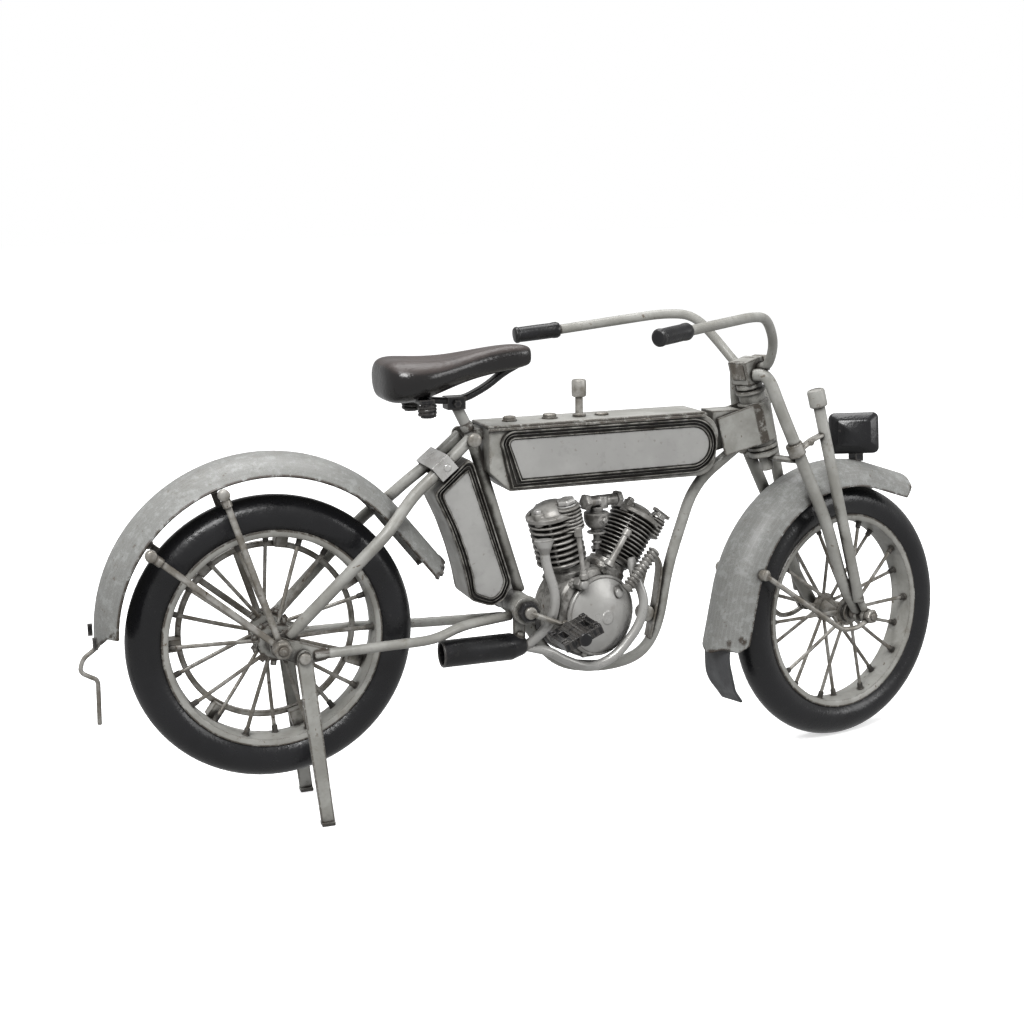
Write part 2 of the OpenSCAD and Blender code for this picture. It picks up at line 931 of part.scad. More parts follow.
// Bent wires from the axle to lugs on the fender
module front_fender_stays() {
    color("lightgray")
        steered()
            both_sides()
                union() {
                    difference() {
                        y_cylinder(front_axle_x, front_axle_z, -16.8, -16.1, 2.2);
                        y_cylinder(front_axle_x, front_axle_z, -18, -15, front_axle_r);
                    }
                    bent_tube(
                        [[203, -16.5, 43.4], [198, -16.4, 41.6], [192, -15.8, 41.8], [161.4, -11.9, 64.4]],
                        0.9, bend = 2, sides = 8, steps = 3);
                    y_cylinder(161.2, 64.6, -12.8, -10.4, 1.9);
                }
}

lamp_yaw = 50;
lamp_x = 213.6;
lamp_z = 107.2;

// Rectangular lamp on a foot, turned on its bracket
module lamp() {
    color([0.1, 0.1, 0.11])
        steered()
            union() {
                translate([lamp_x, 0, lamp_z])
                    rotate([0, 9, lamp_yaw])
                        hull() {
                            for (y = [-6.6, 6.6], z = [-5.2, 5.2])
                                translate([-1.6, y, z]) rotate([0, 90, 0]) cylinder(h = 4, r = 2, $fn = 24);
                            translate([-4, -5.6, -4.4]) cube([1, 11.2, 8.8]);
                        }
                translate([lamp_x - 1, -2, 97.4]) cube([4, 4, 3.6]);
            }
}

// Left half of the handlebar's route, from the grip to the clamp
bar_route = [
    [113, 34.5, 149.1], [148.4, 23.2, 151.6], [158, 18.6, 150.6],
    [164.6, 14.4, 142.4], [167.4, 8.4, 134.6], [bar_clamp_x, 4.4, bar_clamp_z]
];

// One bent tube, clamped above the head
module handlebar() {
    color("silver")
        steered()
            bent_tube(
                [for (side = [-1, 1])
                    for (k = [0 : 5])
                        let (p = bar_route[side < 0 ? k : 5 - k])
                        [p[0], side * p[1], p[2]]],
                bar_r, bend = 6, side_dir = [0.15, 0.1, 1], steps = 4);
}

module grips() {
    color([0.1, 0.1, 0.1])
        steered()
            both_sides()
                rod([97.6, -39.3, 147.9], [113, -34.5, 149.1], grip_d / 2);
}

// --- wheels -------------------------------------------------------------------

rim_profile = [
    [rim_in_r, -rim_half_w], [rim_lip_r, -rim_half_w], [rim_lip_r, rim_lip_t - rim_half_w],
    [rim_seat_r, rim_lip_t - rim_half_w], [rim_seat_r, rim_half_w - rim_lip_t],
    [rim_lip_r, rim_half_w - rim_lip_t], [rim_lip_r, rim_half_w], [rim_in_r, rim_half_w]
];

module tyre() {
    color([0.09, 0.09, 0.1])
        rotate([90, 0, 0])
            rotate_extrude($fn = 128)
                difference() {
                    translate([tyre_core_r, 0]) circle(r = tube_r, $fn = 64);
                    translate([rim_seat_r - 5, -rim_half_w]) square([5, 2 * rim_half_w]);
                    for (side = [-1, 1])
                        translate([rim_lip_r - 5, side * (rim_half_w - rim_lip_t / 2) - rim_lip_t / 2])
                            square([5, rim_lip_t]);
                }
}

module rim() {
    color("silver")
        rotate([90, 0, 0])
            rotate_extrude($fn = 128) polygon(rim_profile);
}

spoke_lead = 8;

// Spokes run from the two flanges of the hub, by turns, to the middle of the rim
module spokes(flange_r, flange_y) {
    color("darkgray")
        for (i = [0 : spoke_count - 1]) {
            side = i % 2 == 0 ? -1 : 1;
            rim_angle = 360 * i / spoke_count;
            hub_angle = rim_angle + (i % 4 < 2 ? spoke_lead : -spoke_lead);
            hub_end = [flange_r * cos(hub_angle), side * flange_y, flange_r * sin(hub_angle)];
            rim_end = [(rim_in_r + 0.3) * cos(rim_angle), side * 1.6, (rim_in_r + 0.3) * sin(rim_angle)];
            union() {
                rod(hub_end, rim_end, spoke_d / 2);
                rod(rim_end + unit(hub_end - rim_end) * 3, rim_end, spoke_d / 2 + 0.35);
            }
        }
}

module hub(bore_r, barrel_r, half_len, flange_r, flange_y) {
    color("gray")
        rotate([90, 0, 0])
            difference() {
                union() {
                    cylinder(h = 2 * half_len, r = barrel_r, center = true);
                    for (side = [-1, 1])
                        translate([0, 0, side * flange_y]) cylinder(h = 1, r = flange_r, center = true);
                }
                cylinder(h = 2 * half_len + 2, r = bore_r, center = true);
            }
}

module at_front_axle() {
    steered()
        translate([front_axle_x, 0, front_axle_z]) children();
}

module at_rear_axle() {
    placed()
        translate([0, 0, rear_axle_z]) children();
}

module front_tyre() {
    at_front_axle() tyre();
}

module front_rim() {
    at_front_axle() rim();
}

module front_spokes() {
    at_front_axle() spokes(4.4, 5.6);
}

module front_hub() {
    at_front_axle() hub(front_axle_r + running_gap, 3.1, 8, 5, 5.6);
}

module rear_tyre() {
    at_rear_axle() tyre();
}

module rear_rim() {
    at_rear_axle() rim();
}

module rear_spokes() {
    at_rear_axle() spokes(5.4, 6.6);
}

// The rear hub's flanges carry square tabs
module rear_hub() {
    at_rear_axle()
        union() {
            hub(rear_axle_r + running_gap, 3, 9, 6.2, 6.6);
            color("silver")
                for (side = [-1, 1], k = [0 : 10])
                    rotate([0, k * 360 / 11, 0])
                        translate([5.6, side * 6.6 - 0.5, -0.9]) cube([2, 1, 1.8]);
        }
}

belt_ring_r = 27.8;
belt_block_count = 7;

// Belt pulley ring on the left of the rear wheel, on small blocks
module belt_ring() {
    color("darkgray")
        at_rear_axle()
            union() {
                rotate([90, 0, 0])
                    rotate_extrude($fn = 96)
                        translate([belt_ring_r - 0.9, -9.6]) square([1.8, 2]);
                for (k = [0 : belt_block_count - 1])
                    rotate([0, k * 360 / belt_block_count - 28, 0])
                        translate([belt_ring_r - 0.4, 4.2, -2]) cube([5.1, 5, 4]);
            }
}

// --- stand, crank and pedal -----------------------------------------------------

foot_x = 12;

// Flat bar with an eye at the pivot and a foot bent forward at the ground
module stand_leg() {
    difference() {
        union() {
            hull() {
                y_cylinder(pivot_x, pivot_z, -16.9, -15.3, 2.4, $fn = 32);
                translate([foot_x - 2.1, -16.9, 1]) cube([4.2, 1.6, 2]);
            }
            translate([foot_x - 2.1, -17.6, 0]) cube([4.2, 3.4, 1.3]);
        }
        y_cylinder(pivot_x, pivot_z, -18, -14, pivot_r + running_gap);
    }
}

module stand_leg_right() {
    color("silver")
        placed() stand_leg();
}

module stand_leg_left() {
    color("silver")
        placed()
            mirror([0, 1, 0]) stand_leg();
}

crank_length = norm([pedal_x - bracket_x, pedal_z - bracket_z]);

// Spindle through the bracket, its black hexagonal end, the arm and the pedal pin
module crank() {
    color("dimgray")
        placed()
            union() {
                y_cylinder(bracket_x, bracket_z, -13.4, 14.6, spindle_r);
                y_hex(bracket_x, bracket_z, -15.8, -13.3, 3.6);
                y_cylinder(bracket_x, bracket_z, 13.3, 14.9, 3);
                rod([bracket_x, crank_arm_y, bracket_z], [pedal_x, crank_arm_y, pedal_z], 0.9);
                y_cylinder(bracket_x, bracket_z, -17.2, -15.6, 2);
                y_cylinder(pedal_x, pedal_z, -33.4, -15.6, pedal_pin_r);
                y_cylinder(pedal_x, pedal_z, -17.4, -15.5, 1.8);
                y_cylinder(pedal_x, pedal_z, -34.4, -33.3, 2.2);
            }
}

pedal_half_len = 6.8;
pedal_pitch = 23;

// Flat rubber pedal with a sleeve for the pin and two windows
module pedal() {
    color([0.09, 0.09, 0.1])
        placed()
            difference() {
                union() {
                    translate([pedal_x, -25.3, pedal_z])
                        rotate([0, -pedal_pitch, 0])
                            difference() {
                                cube([2 * pedal_half_len, 15, 3], center = true);
                                for (side = [-1, 1])
                                    translate([side * 3.9, 0, 0]) cube([1.8, 6, 4], center = true);
                            }
                    y_cylinder(pedal_x, pedal_z, -33, -17.7, 2);
                }
                y_cylinder(pedal_x, pedal_z, -34, -17, pedal_pin_r + running_gap);
            }
}

head_lug();
top_tube();
seat_tube();
down_tube();
chain_stays();
seat_stays();
stay_clamp();
frame_bolts();
bracket_sleeve();
rear_axle();
tank_shell();
tank_lid();
tank_panels();
tank_fittings();
oil_pump();
toolbox_shell();
toolbox_panels();
rear_fender();
rear_fender_stays();
stand_clip();
seat_post();
saddle_frame();
saddle_springs();
saddle();
crankcase();
engine_covers();
cylinder_rear();
cylinder_front();
cylinder_heads();
pushrods();
spring_hose();
intake_manifold();
carburettor();
exhaust_pipes();
muffler();
engine_strap();
fork_stem();
fork_legs();
spring_tubes();
fork_clamps();
front_axle();
front_fender();
mud_flap();
front_fender_stays();
lamp();
handlebar();
grips();
front_tyre();
front_rim();
front_spokes();
front_hub();
rear_tyre();
rear_rim();
rear_spokes();
rear_hub();
belt_ring();
stand_leg_right();
stand_leg_left();
crank();
pedal();
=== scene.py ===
"""Display motorcycle of painted sheet metal and wire, on its rear stand.

Shapes are drawn in the design frame: millimetres, X forward, Y to the rider's left, Z up, with the
rear axle's middle over the origin. PLACED and the frames made from it turn them into the row's
frame, in metres.
"""

import math
import random

import bpy
from mathutils import Matrix, Vector


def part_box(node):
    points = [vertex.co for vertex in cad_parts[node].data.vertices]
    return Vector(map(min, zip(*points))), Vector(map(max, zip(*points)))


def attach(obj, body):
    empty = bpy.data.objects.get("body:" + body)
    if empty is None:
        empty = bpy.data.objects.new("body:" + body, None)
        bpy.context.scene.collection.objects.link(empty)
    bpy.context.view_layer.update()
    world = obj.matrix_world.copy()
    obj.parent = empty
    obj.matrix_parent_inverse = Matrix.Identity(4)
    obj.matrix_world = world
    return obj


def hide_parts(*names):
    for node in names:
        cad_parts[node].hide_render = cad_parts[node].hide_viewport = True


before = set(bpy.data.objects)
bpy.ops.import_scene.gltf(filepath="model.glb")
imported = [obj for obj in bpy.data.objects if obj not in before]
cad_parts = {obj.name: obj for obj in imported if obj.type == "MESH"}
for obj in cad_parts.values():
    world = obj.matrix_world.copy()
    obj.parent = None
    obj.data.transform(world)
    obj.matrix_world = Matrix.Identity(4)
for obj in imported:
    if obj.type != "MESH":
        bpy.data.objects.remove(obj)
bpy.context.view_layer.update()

rad = math.radians
axle_low, axle_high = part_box("rear_axle")
AXLE = (Vector(axle_low) + Vector(axle_high)) / 2


# Places that several pieces share: x and z in mm, angles in degrees
REAR_Z = 58.5
WHEELBASE, FRONT_Z = 204, 45
HEAD_X, HEAD_Z, RAKE, BARS_LEFT = 169, 115.5, 14, 13.5
ENGINE_X, ENGINE_Z, ENGINE_LEFT = 104.2, 56.5, 16
BRACKET_X, BRACKET_Z = 80.5, 61.2
PEDAL_X, PEDAL_Z = 92.2, 55.8
PIVOT_X, PIVOT_Z = 6.8, 54.9
STAY_TOPS = ((-14.6, 106.7), (-36.8, 90.2))
TANK_TOP, TANK_LOW, LID = 120.2, 99.6, 0.9


def shift(x, y, z):
    return Matrix.Translation((x, y, z))


def turned(degrees, axis):
    return Matrix.Rotation(rad(degrees), 4, axis)


def spoke(r, a, x=0.0, y=0.0):
    """The point r away from (x, y) at a radians."""
    return x + r * math.cos(a), y + r * math.sin(a)


PLACED = shift(AXLE.x, AXLE.y, 0) @ Matrix.Diagonal((0.001, 0.001, 0.001, 1))
HEAD = shift(HEAD_X, 0, HEAD_Z) @ turned(-RAKE, "Y")
STEERED = PLACED @ HEAD @ turned(BARS_LEFT, "Z") @ turned(RAKE, "Y") @ shift(-HEAD_X, 0, -HEAD_Z)
ENGINE = PLACED @ shift(ENGINE_X, 0, ENGINE_Z) @ turned(ENGINE_LEFT, "Z")
REAR = PLACED @ shift(0, 0, REAR_Z)
FRONT = STEERED @ shift(WHEELBASE, 0, FRONT_Z)
MIRROR = Matrix.Diagonal((1, -1, 1, 1))
TURN = 2 * math.pi
along_y = turned(90, "X")


# --- materials ---


class Net:
    """A material's node tree, built from short calls."""

    def __init__(self, name):
        self.material = bpy.data.materials.new(name)
        self.material.use_nodes = True
        self.tree = self.material.node_tree
        self.tree.nodes.clear()
        self.place = self.node("ShaderNodeTexCoord").outputs["Object"]
        self.shader = self.node("ShaderNodeBsdfPrincipled")
        out = self.node("ShaderNodeOutputMaterial")
        self.tree.links.new(self.shader.outputs[0], out.inputs["Surface"])

    def node(self, kind, **settings):
        made = self.tree.nodes.new(kind)
        for key, value in settings.items():
            setattr(made, key, value)
        return made

    def give(self, socket, value):
        if isinstance(value, bpy.types.NodeSocket):
            self.tree.links.new(value, socket)
        elif isinstance(value, tuple) and len(value) == 3 and socket.type == "RGBA":
            socket.default_value = (*value, 1)
        else:
            socket.default_value = value

    def noise(self, scale, detail=3.0, rough=0.55, warp=0.0, stretch=None):
        made = self.node("ShaderNodeTexNoise")
        place = self.place
        if stretch:
            mapping = self.node("ShaderNodeMapping")
            mapping.inputs["Scale"].default_value = stretch
            self.give(mapping.inputs["Vector"], place)
            place = mapping.outputs[0]
        self.give(made.inputs["Vector"], place)
        for key, value in (("Scale", scale), ("Detail", detail), ("Roughness", rough), ("Distortion", warp)):
            made.inputs[key].default_value = value
        return made.outputs["Fac"]

    def band(self, value, low, high, to_low=0.0, to_high=1.0):
        made = self.node("ShaderNodeMapRange", interpolation_type="SMOOTHSTEP")
        for key, item in (("Value", value), ("From Min", low), ("From Max", high), ("To Min", to_low),
                          ("To Max", to_high)):
            self.give(made.inputs[key], item)
        return made.outputs["Result"]

    def sum(self, a, b, operation="ADD"):
        made = self.node("ShaderNodeMath", operation=operation, use_clamp=True)
        self.give(made.inputs[0], a)
        self.give(made.inputs[1], b)
        return made.outputs[0]

    def times(self, a, b):
        return self.sum(a, b, "MULTIPLY")

    def mix(self, amount, a, b):
        made = self.node("ShaderNodeMix", data_type="RGBA")
        self.give(made.inputs[0], amount)
        self.give(made.inputs[6], a)
        self.give(made.inputs[7], b)
        return made.outputs[2]

    def corners(self, reach, inside=False):
        """1 in the open, less in corners within reach; inside finds outer edges instead."""
        made = self.node("ShaderNodeAmbientOcclusion", samples=8, inside=inside)
        made.inputs["Distance"].default_value = reach
        return made.outputs["AO"]

    def put(self, socket, value):
        self.give(self.shader.inputs[socket], value)

    def bump(self, height, distance):
        made = self.node("ShaderNodeBump")
        made.inputs["Strength"].default_value = 1.0
        made.inputs["Distance"].default_value = distance
        self.give(made.inputs["Height"], height)
        self.give(self.shader.inputs["Normal"], made.outputs[0])


def finish(
    name, light, dark, rough=(0.4, 0.55), metal=0.0, grime_and_shade=0.7, grime_and_shade_reach=0.0032,
    grime_and_shade_colour=(0.03, 0.027, 0.023),
    specks=0.5, speck_colour=(0.09, 0.06, 0.035), wear=0.0, wear_colour=(0.1, 0.085, 0.07), patches=60,
    relief=0.00006, streaks=0.0, level=0.5, grime_and_shade_band=(0.42, 0.93), wear_reach=0.0008,
):
    """Aged metal, paint or rubber: two tones, dark specks, grime and painted shade in the corners, worn edges and a
    fine relief.
    """
    net = Net(name)
    tone = net.band(net.noise(patches, 4, 0.6), 0.36, 0.64)
    colour = net.mix(tone, dark, light)
    fine = net.noise(900, 2, 0.6)
    colour = net.mix(net.band(fine, 0.3, 0.75, 0.0, 0.22), colour, dark)
    if specks:
        spots = net.band(net.noise(520, 2, 0.5, 0.3), 0.665, 0.72)
        cloud = net.band(net.noise(95, 2), 0.44, 0.62, 0.15, 1.0)
        colour = net.mix(net.times(net.times(spots, cloud), specks), colour, speck_colour)
        stain = net.band(net.noise(150, 5, 0.7, 0.6), 0.6, 0.74, 0.0, 0.5 * specks)
        colour = net.mix(stain, colour, speck_colour)
    if streaks:
        lines = net.band(net.noise(70, 4, 0.7, 0.2, (1, 1, 9)), 0.5, 0.75, 0.0, streaks)
        colour = net.mix(lines, colour, speck_colour)
    if wear:
        bare = net.band(net.corners(wear_reach, True), 0.93, 0.7)
        broken = net.band(net.noise(330, 4, 0.75), 0.36, 0.52)
        colour = net.mix(net.times(net.times(bare, broken), wear), colour, wear_colour)
    # Painted shade: the colour goes toward near-black wherever the occlusion test finds corners, seams and recesses
    # within reach, broken up by noise. It stands for grime and for the shade that falls there.
    if grime_and_shade:
        open_air = net.corners(grime_and_shade_reach)
        uneven = net.band(net.noise(240, 3, 0.65), 0.25, 0.7, -0.13, 0.16)
        grime_and_shade_mask = net.band(net.sum(open_air, uneven), grime_and_shade_band[0], grime_and_shade_band[1], grime_and_shade, 0.0)
        colour = net.mix(grime_and_shade_mask, colour, grime_and_shade_colour)
    net.put("Base Color", colour)
    net.put("Roughness", net.band(net.noise(180, 3), 0.3, 0.7, rough[0], rough[1]))
    net.put("Metallic", metal)
    net.put("Specular IOR Level", level)
    net.bump(net.sum(net.times(fine, 0.4), net.times(net.noise(230, 3), 0.6)), relief)
    return net.material


# The grime settings below darken corners, seams and recesses: grime together with painted shade.
PAINT = finish("frame_paint", (0.345, 0.343, 0.322), (0.245, 0.241, 0.22), rough=(0.3, 0.46), wear=0.9, specks=0.8,
               wear_colour=(0.045, 0.034, 0.025), grime_and_shade=0.96, grime_and_shade_reach=0.005, grime_and_shade_band=(0.5, 0.97),
               relief=0.00009, patches=95)
FENDER = finish("fender_paint", (0.285, 0.291, 0.282), (0.252, 0.257, 0.248), rough=(0.36, 0.48), wear=0.95,
                specks=0.6,
                wear_colour=(0.04, 0.03, 0.022), grime_and_shade=0.75, relief=0.00006, patches=26, streaks=0.12, level=0.4)
COVER = finish("cover_paint", (0.44, 0.435, 0.42), (0.35, 0.345, 0.33), rough=(0.26, 0.36), metal=0.25, specks=0.45,
               grime_and_shade=0.95,
               grime_and_shade_colour=(0.02, 0.017, 0.014), relief=0.00006, patches=70, wear=0.5,
               wear_colour=(0.08, 0.07, 0.06))
PANEL = finish("panel_paint", (0.36, 0.357, 0.345), (0.31, 0.307, 0.297), rough=(0.28, 0.38), specks=0.35,
               grime_and_shade=0.96, grime_and_shade_reach=0.0026, relief=0.00004, patches=45, grime_and_shade_band=(0.45, 0.98))
BEAD = finish("bead_paint", (0.3, 0.292, 0.268), (0.03, 0.026, 0.02), rough=(0.28, 0.46), specks=0.7, grime_and_shade=1.0,
              grime_and_shade_reach=0.003, grime_and_shade_colour=(0.007, 0.006, 0.005), relief=0.00016, patches=260, metal=0.2,
              grime_and_shade_band=(0.62, 1.0), wear=0.35, wear_reach=0.0003, wear_colour=(0.4, 0.39, 0.36))
# Near-black finish for the sheets that lie under the tank and toolbox beads and show in the gaps between them.
DARK = finish("bead_gap_black", (0.03, 0.027, 0.022), (0.012, 0.011, 0.009), rough=(0.3, 0.5), specks=0.8,
              speck_colour=(0.2, 0.19, 0.17), grime_and_shade=0.0, relief=0.0002, patches=300)
STEEL = finish("worn_steel", (0.4, 0.39, 0.365), (0.19, 0.175, 0.15), rough=(0.28, 0.46), metal=0.4, specks=1.0,
               speck_colour=(0.08, 0.06, 0.045), wear=0.6, wear_colour=(0.06, 0.045, 0.03), grime_and_shade=0.95,
               relief=0.00012, patches=190)
BRIGHT = finish("bright_steel", (0.66, 0.655, 0.64), (0.42, 0.41, 0.39), rough=(0.2, 0.36), metal=0.6, specks=0.5,
                grime_and_shade=0.9, relief=0.00008, patches=150)
PEWTER = finish("aged_pewter", (0.42, 0.41, 0.39), (0.19, 0.182, 0.168), rough=(0.36, 0.5), metal=0.35, specks=0.7,
                speck_colour=(0.05, 0.038, 0.028), grime_and_shade=0.97, grime_and_shade_reach=0.0024,
                grime_and_shade_colour=(0.016, 0.013, 0.011), relief=0.00016, patches=170, grime_and_shade_band=(0.3, 0.92))
GUNMETAL = finish("dark_casting", (0.27, 0.263, 0.25), (0.09, 0.086, 0.079), rough=(0.32, 0.46), metal=0.45,
                  specks=0.6,
                  grime_and_shade=0.95, relief=0.00016, patches=220, wear=0.7, wear_colour=(0.42, 0.41, 0.39),
                  grime_and_shade_colour=(0.01, 0.009, 0.008))
CASTING = finish("rough_casting", (0.38, 0.37, 0.35), (0.12, 0.115, 0.105), rough=(0.32, 0.5), metal=0.4,
                 specks=0.9, grime_and_shade=0.97, grime_and_shade_colour=(0.012, 0.01, 0.009), relief=0.0004, patches=230)
RUSTY = finish("rusty_steel", (0.12, 0.112, 0.1), (0.035, 0.032, 0.029), rough=(0.5, 0.7), metal=0.3, specks=0.9,
               speck_colour=(0.09, 0.06, 0.04), grime_and_shade=0.9, relief=0.0002, patches=260)
TYRE = finish("black_rubber", (0.009, 0.009, 0.0105), (0.005, 0.005, 0.006), rough=(0.22, 0.34), specks=0.2,
              speck_colour=(0.06, 0.058, 0.054), grime_and_shade=0.0, relief=0.00022, patches=28, level=0.5)
GLOSS = finish("black_moulding", (0.01, 0.01, 0.0115), (0.006, 0.006, 0.007), rough=(0.16, 0.28), specks=0.3,
               speck_colour=(0.07, 0.065, 0.06), grime_and_shade=0.0, relief=0.00014, patches=70, wear=0.35,
               wear_colour=(0.12, 0.11, 0.1))
SOOTY = finish("sooty_moulding", (0.008, 0.008, 0.0095), (0.004, 0.004, 0.0045), rough=(0.24, 0.4), specks=0.5,
               speck_colour=(0.09, 0.083, 0.075), grime_and_shade=0.0, relief=0.00022, patches=120, wear=0.5,
               wear_colour=(0.15, 0.14, 0.13))
RUBBER = finish("grey_rubber", (0.1, 0.103, 0.107), (0.055, 0.056, 0.059), rough=(0.42, 0.6), specks=0.5,
                speck_colour=(0.02, 0.02, 0.02), grime_and_shade=0.5, relief=0.00028, patches=130, wear=0.7,
                wear_colour=(0.02, 0.02, 0.02))


def saddle_finish():
    """Moulded brown-black hide: a dull brown top with fine creases, over glossier sides that are painted darker by
    their facing as painted shade.
    """
    net = Net("saddle_moulding")
    tone = net.band(net.noise(48, 4, 0.6), 0.35, 0.65)
    colour = net.mix(tone, (0.028, 0.0215, 0.02), (0.052, 0.04, 0.036))
    crease = net.band(net.noise(120, 5, 0.7, 0.8, (1, 2.2, 1)), 0.5, 0.7, 0.0, 0.35)
    colour = net.mix(crease, colour, (0.06, 0.048, 0.044))
    facing = net.node("ShaderNodeSeparateXYZ")
    net.give(facing.inputs[0], net.node("ShaderNodeNewGeometry").outputs["Normal"])
    # Painted shade: faces that turn from up towards the side are mixed toward near-black. The same mask raises their
    # gloss.
    side_shade_and_gloss = net.band(facing.outputs["Z"], 0.72, 0.3)
    net.put("Base Color", net.mix(side_shade_and_gloss, colour, (0.008, 0.007, 0.007)))
    net.put("Roughness", net.band(side_shade_and_gloss, 0.0, 1.0, 0.4, 0.2))
    net.put("Specular IOR Level", 0.6)
    net.bump(net.sum(net.times(net.noise(700, 3), 0.3), net.times(net.noise(110, 4, 0.7, 0.5), 0.7)), 0.00035)
    return net.material


SADDLE = saddle_finish()


# --- mesh helpers ---


class Shape:
    """A growing mesh. Every helper adds closed bodies to it."""

    def __init__(self):
        self.points, self.faces = [], []

    def add(self, points, faces, matrix=PLACED):
        first = len(self.points)
        turn_over = matrix.to_3x3().determinant() < 0
        self.points += [matrix @ Vector(p) for p in points]
        for face in faces:
            face = [first + k for k in face]
            self.faces.append(face[::-1] if turn_over else face)
        return self

    def loft(self, rings, matrix=PLACED, caps=True, loop=False):
        """Skins a row of closed rings that all have the same number of points."""
        n, m = len(rings[0]), len(rings)
        faces = []
        for i in range(m if loop else m - 1):
            j = (i + 1) % m
            for k in range(n):
                q = (k + 1) % n
                faces.append([i * n + k, i * n + q, j * n + q, j * n + k])
        if caps and not loop:
            faces.append(list(range(n))[::-1])
            faces.append([(m - 1) * n + k for k in range(n)])
        return self.add([p for ring in rings for p in ring], faces, matrix)

    def sweep(self, route, outline, matrix=PLACED, side=None, caps=True, loop=False):
        """outline is a list of (across, out) points, or a function of the place along the route, 0 to 1."""
        route = [Vector(p) for p in route]
        count = len(route)
        tangents = []
        for i in range(count):
            before = route[i - 1] if (i or loop) else route[i]
            after = route[(i + 1) % count] if (i < count - 1 or loop) else route[i]
            tangents.append((after - before).normalized())
        if side is None:
            u = tangents[0].orthogonal().normalized()
        rings = []
        for i, (p, t) in enumerate(zip(route, tangents)):
            if side is None:
                u = (u - t * u.dot(t)).normalized()
            else:
                u = Vector(side).cross(t).normalized()
            v = t.cross(u)
            form = outline(i / max(1, count - 1)) if callable(outline) else outline
            rings.append([p + u * a + v * b for a, b in form])
        return self.loft(rings, matrix, caps, loop)

    def tube(self, route, radius, matrix=PLACED, sides=20, soft=0.0):
        """Round bar along a route; soft rounds its ends by that much."""
        route = [Vector(p) for p in route]
        if soft:
            a = (route[1] - route[0]).normalized()
            b = (route[-1] - route[-2]).normalized()
            route = [route[0], route[0] + a * soft * 0.3, route[0] + a * soft] + route[1:-1] + [
                route[-1] - b * soft, route[-1] - b * soft * 0.3, route[-1]]
        last = len(route) - 1
        size = radius if callable(radius) else (lambda t: radius)

        def outline(t):
            i = round(t * last)
            r = size(t)
            if soft and i in (0, last):
                r -= soft
            elif soft and i in (1, last - 1):
                r -= soft * 0.3
            return [spoke(r, TURN * k / sides) for k in range(sides)]

        return self.sweep(route, outline, matrix)

    def turn(self, profile, matrix=PLACED, sides=48, closed=False):
        """Lathe about Z. profile is (radius, height) from the bottom up; closed joins its ends."""
        rings = []
        for k in range(sides):
            rings.append([(*spoke(r, TURN * k / sides), h) for r, h in profile])
        n, m = len(profile), sides
        faces = []
        for i in range(m):
            j = (i + 1) % m
            for k in range(n if closed else n - 1):
                q = (k + 1) % n
                faces.append([i * n + k, j * n + k, j * n + q, i * n + q])
        if not closed:
            faces.append([i * n for i in range(m)][::-1])
            faces.append([i * n + n - 1 for i in range(m)])
        return self.add([p for ring in rings for p in ring], faces, matrix)

    def spin(self, a, b, profile, matrix=PLACED, sides=32):
        """Lathe along the line from a to b; heights are in mm from a."""
        a, b = Vector(a), Vector(b)
        align = Matrix.Translation(a) @ (b - a).to_track_quat("Z", "Y").to_matrix().to_4x4()
        return self.turn(profile, matrix @ align, sides)

    def stud(self, x, z, y_from, y_to, r, matrix=PLACED, sides=28, edge=0.25, dome=0.0):
        """Round or six-sided head along Y that faces y_to."""
        h = abs(y_to - y_from)
        profile = [(r, 0), (r, h - edge), (r - edge, h)]
        if dome:
            profile = [(r, 0), (r, h - dome)] + [
                (r * math.cos(rad(a)), h - dome + dome * math.sin(rad(a))) for a in (20, 40, 60, 80)]
        return self.spin((x, y_from, z), (x, y_to, z), profile, matrix, sides)

    def slab(self, outline, y_low, y_high, matrix=PLACED):
        """Side view (X, Z) given a thickness along Y."""
        area = sum(a[0] * b[1] - b[0] * a[1] for a, b in zip(outline, outline[1:] + outline[:1]))
        if area > 0:
            outline = outline[::-1]
        return self.loft([[(x, y_low, z) for x, z in outline], [(x, y_high, z) for x, z in outline]], matrix)

    def block(self, x0, x1, y0, y1, z0, z1, matrix=PLACED):
        return self.slab([(x0, z0), (x1, z0), (x1, z1), (x0, z1)], y0, y1, matrix)


def curve(route, bend=6.0, steps=8):
    """Rounds every inner corner of a route with a smooth bend that starts bend mm before it."""
    route = [Vector(p) for p in route]
    out = [route[0]]
    for before, here, after in zip(route, route[1:], route[2:]):
        a, b = before - here, after - here
        start = here + a.normalized() * min(bend, a.length * 0.48)
        end = here + b.normalized() * min(bend, b.length * 0.48)
        for k in range(steps + 1):
            t = k / steps
            out.append((1 - t) ** 2 * start + 2 * t * (1 - t) * here + t * t * end)
    return out + [route[-1]]


def flat(w, t, r=0.3):
    """Rounded flat bar: w across the route's plane, t thick."""
    a, b = t / 2, w / 2
    return [(a, b - r), (a - r, b), (-a + r, b), (-a, b - r), (-a, -b + r), (-a + r, -b), (a - r, -b), (a, -b + r)]


def arc(cx, cy, r, start, end, steps=12):
    return [spoke(r, rad(start + (end - start) * k / steps), cx, cy) for k in range(steps + 1)]


def mirrored(matrix):
    return (matrix, matrix @ MIRROR)


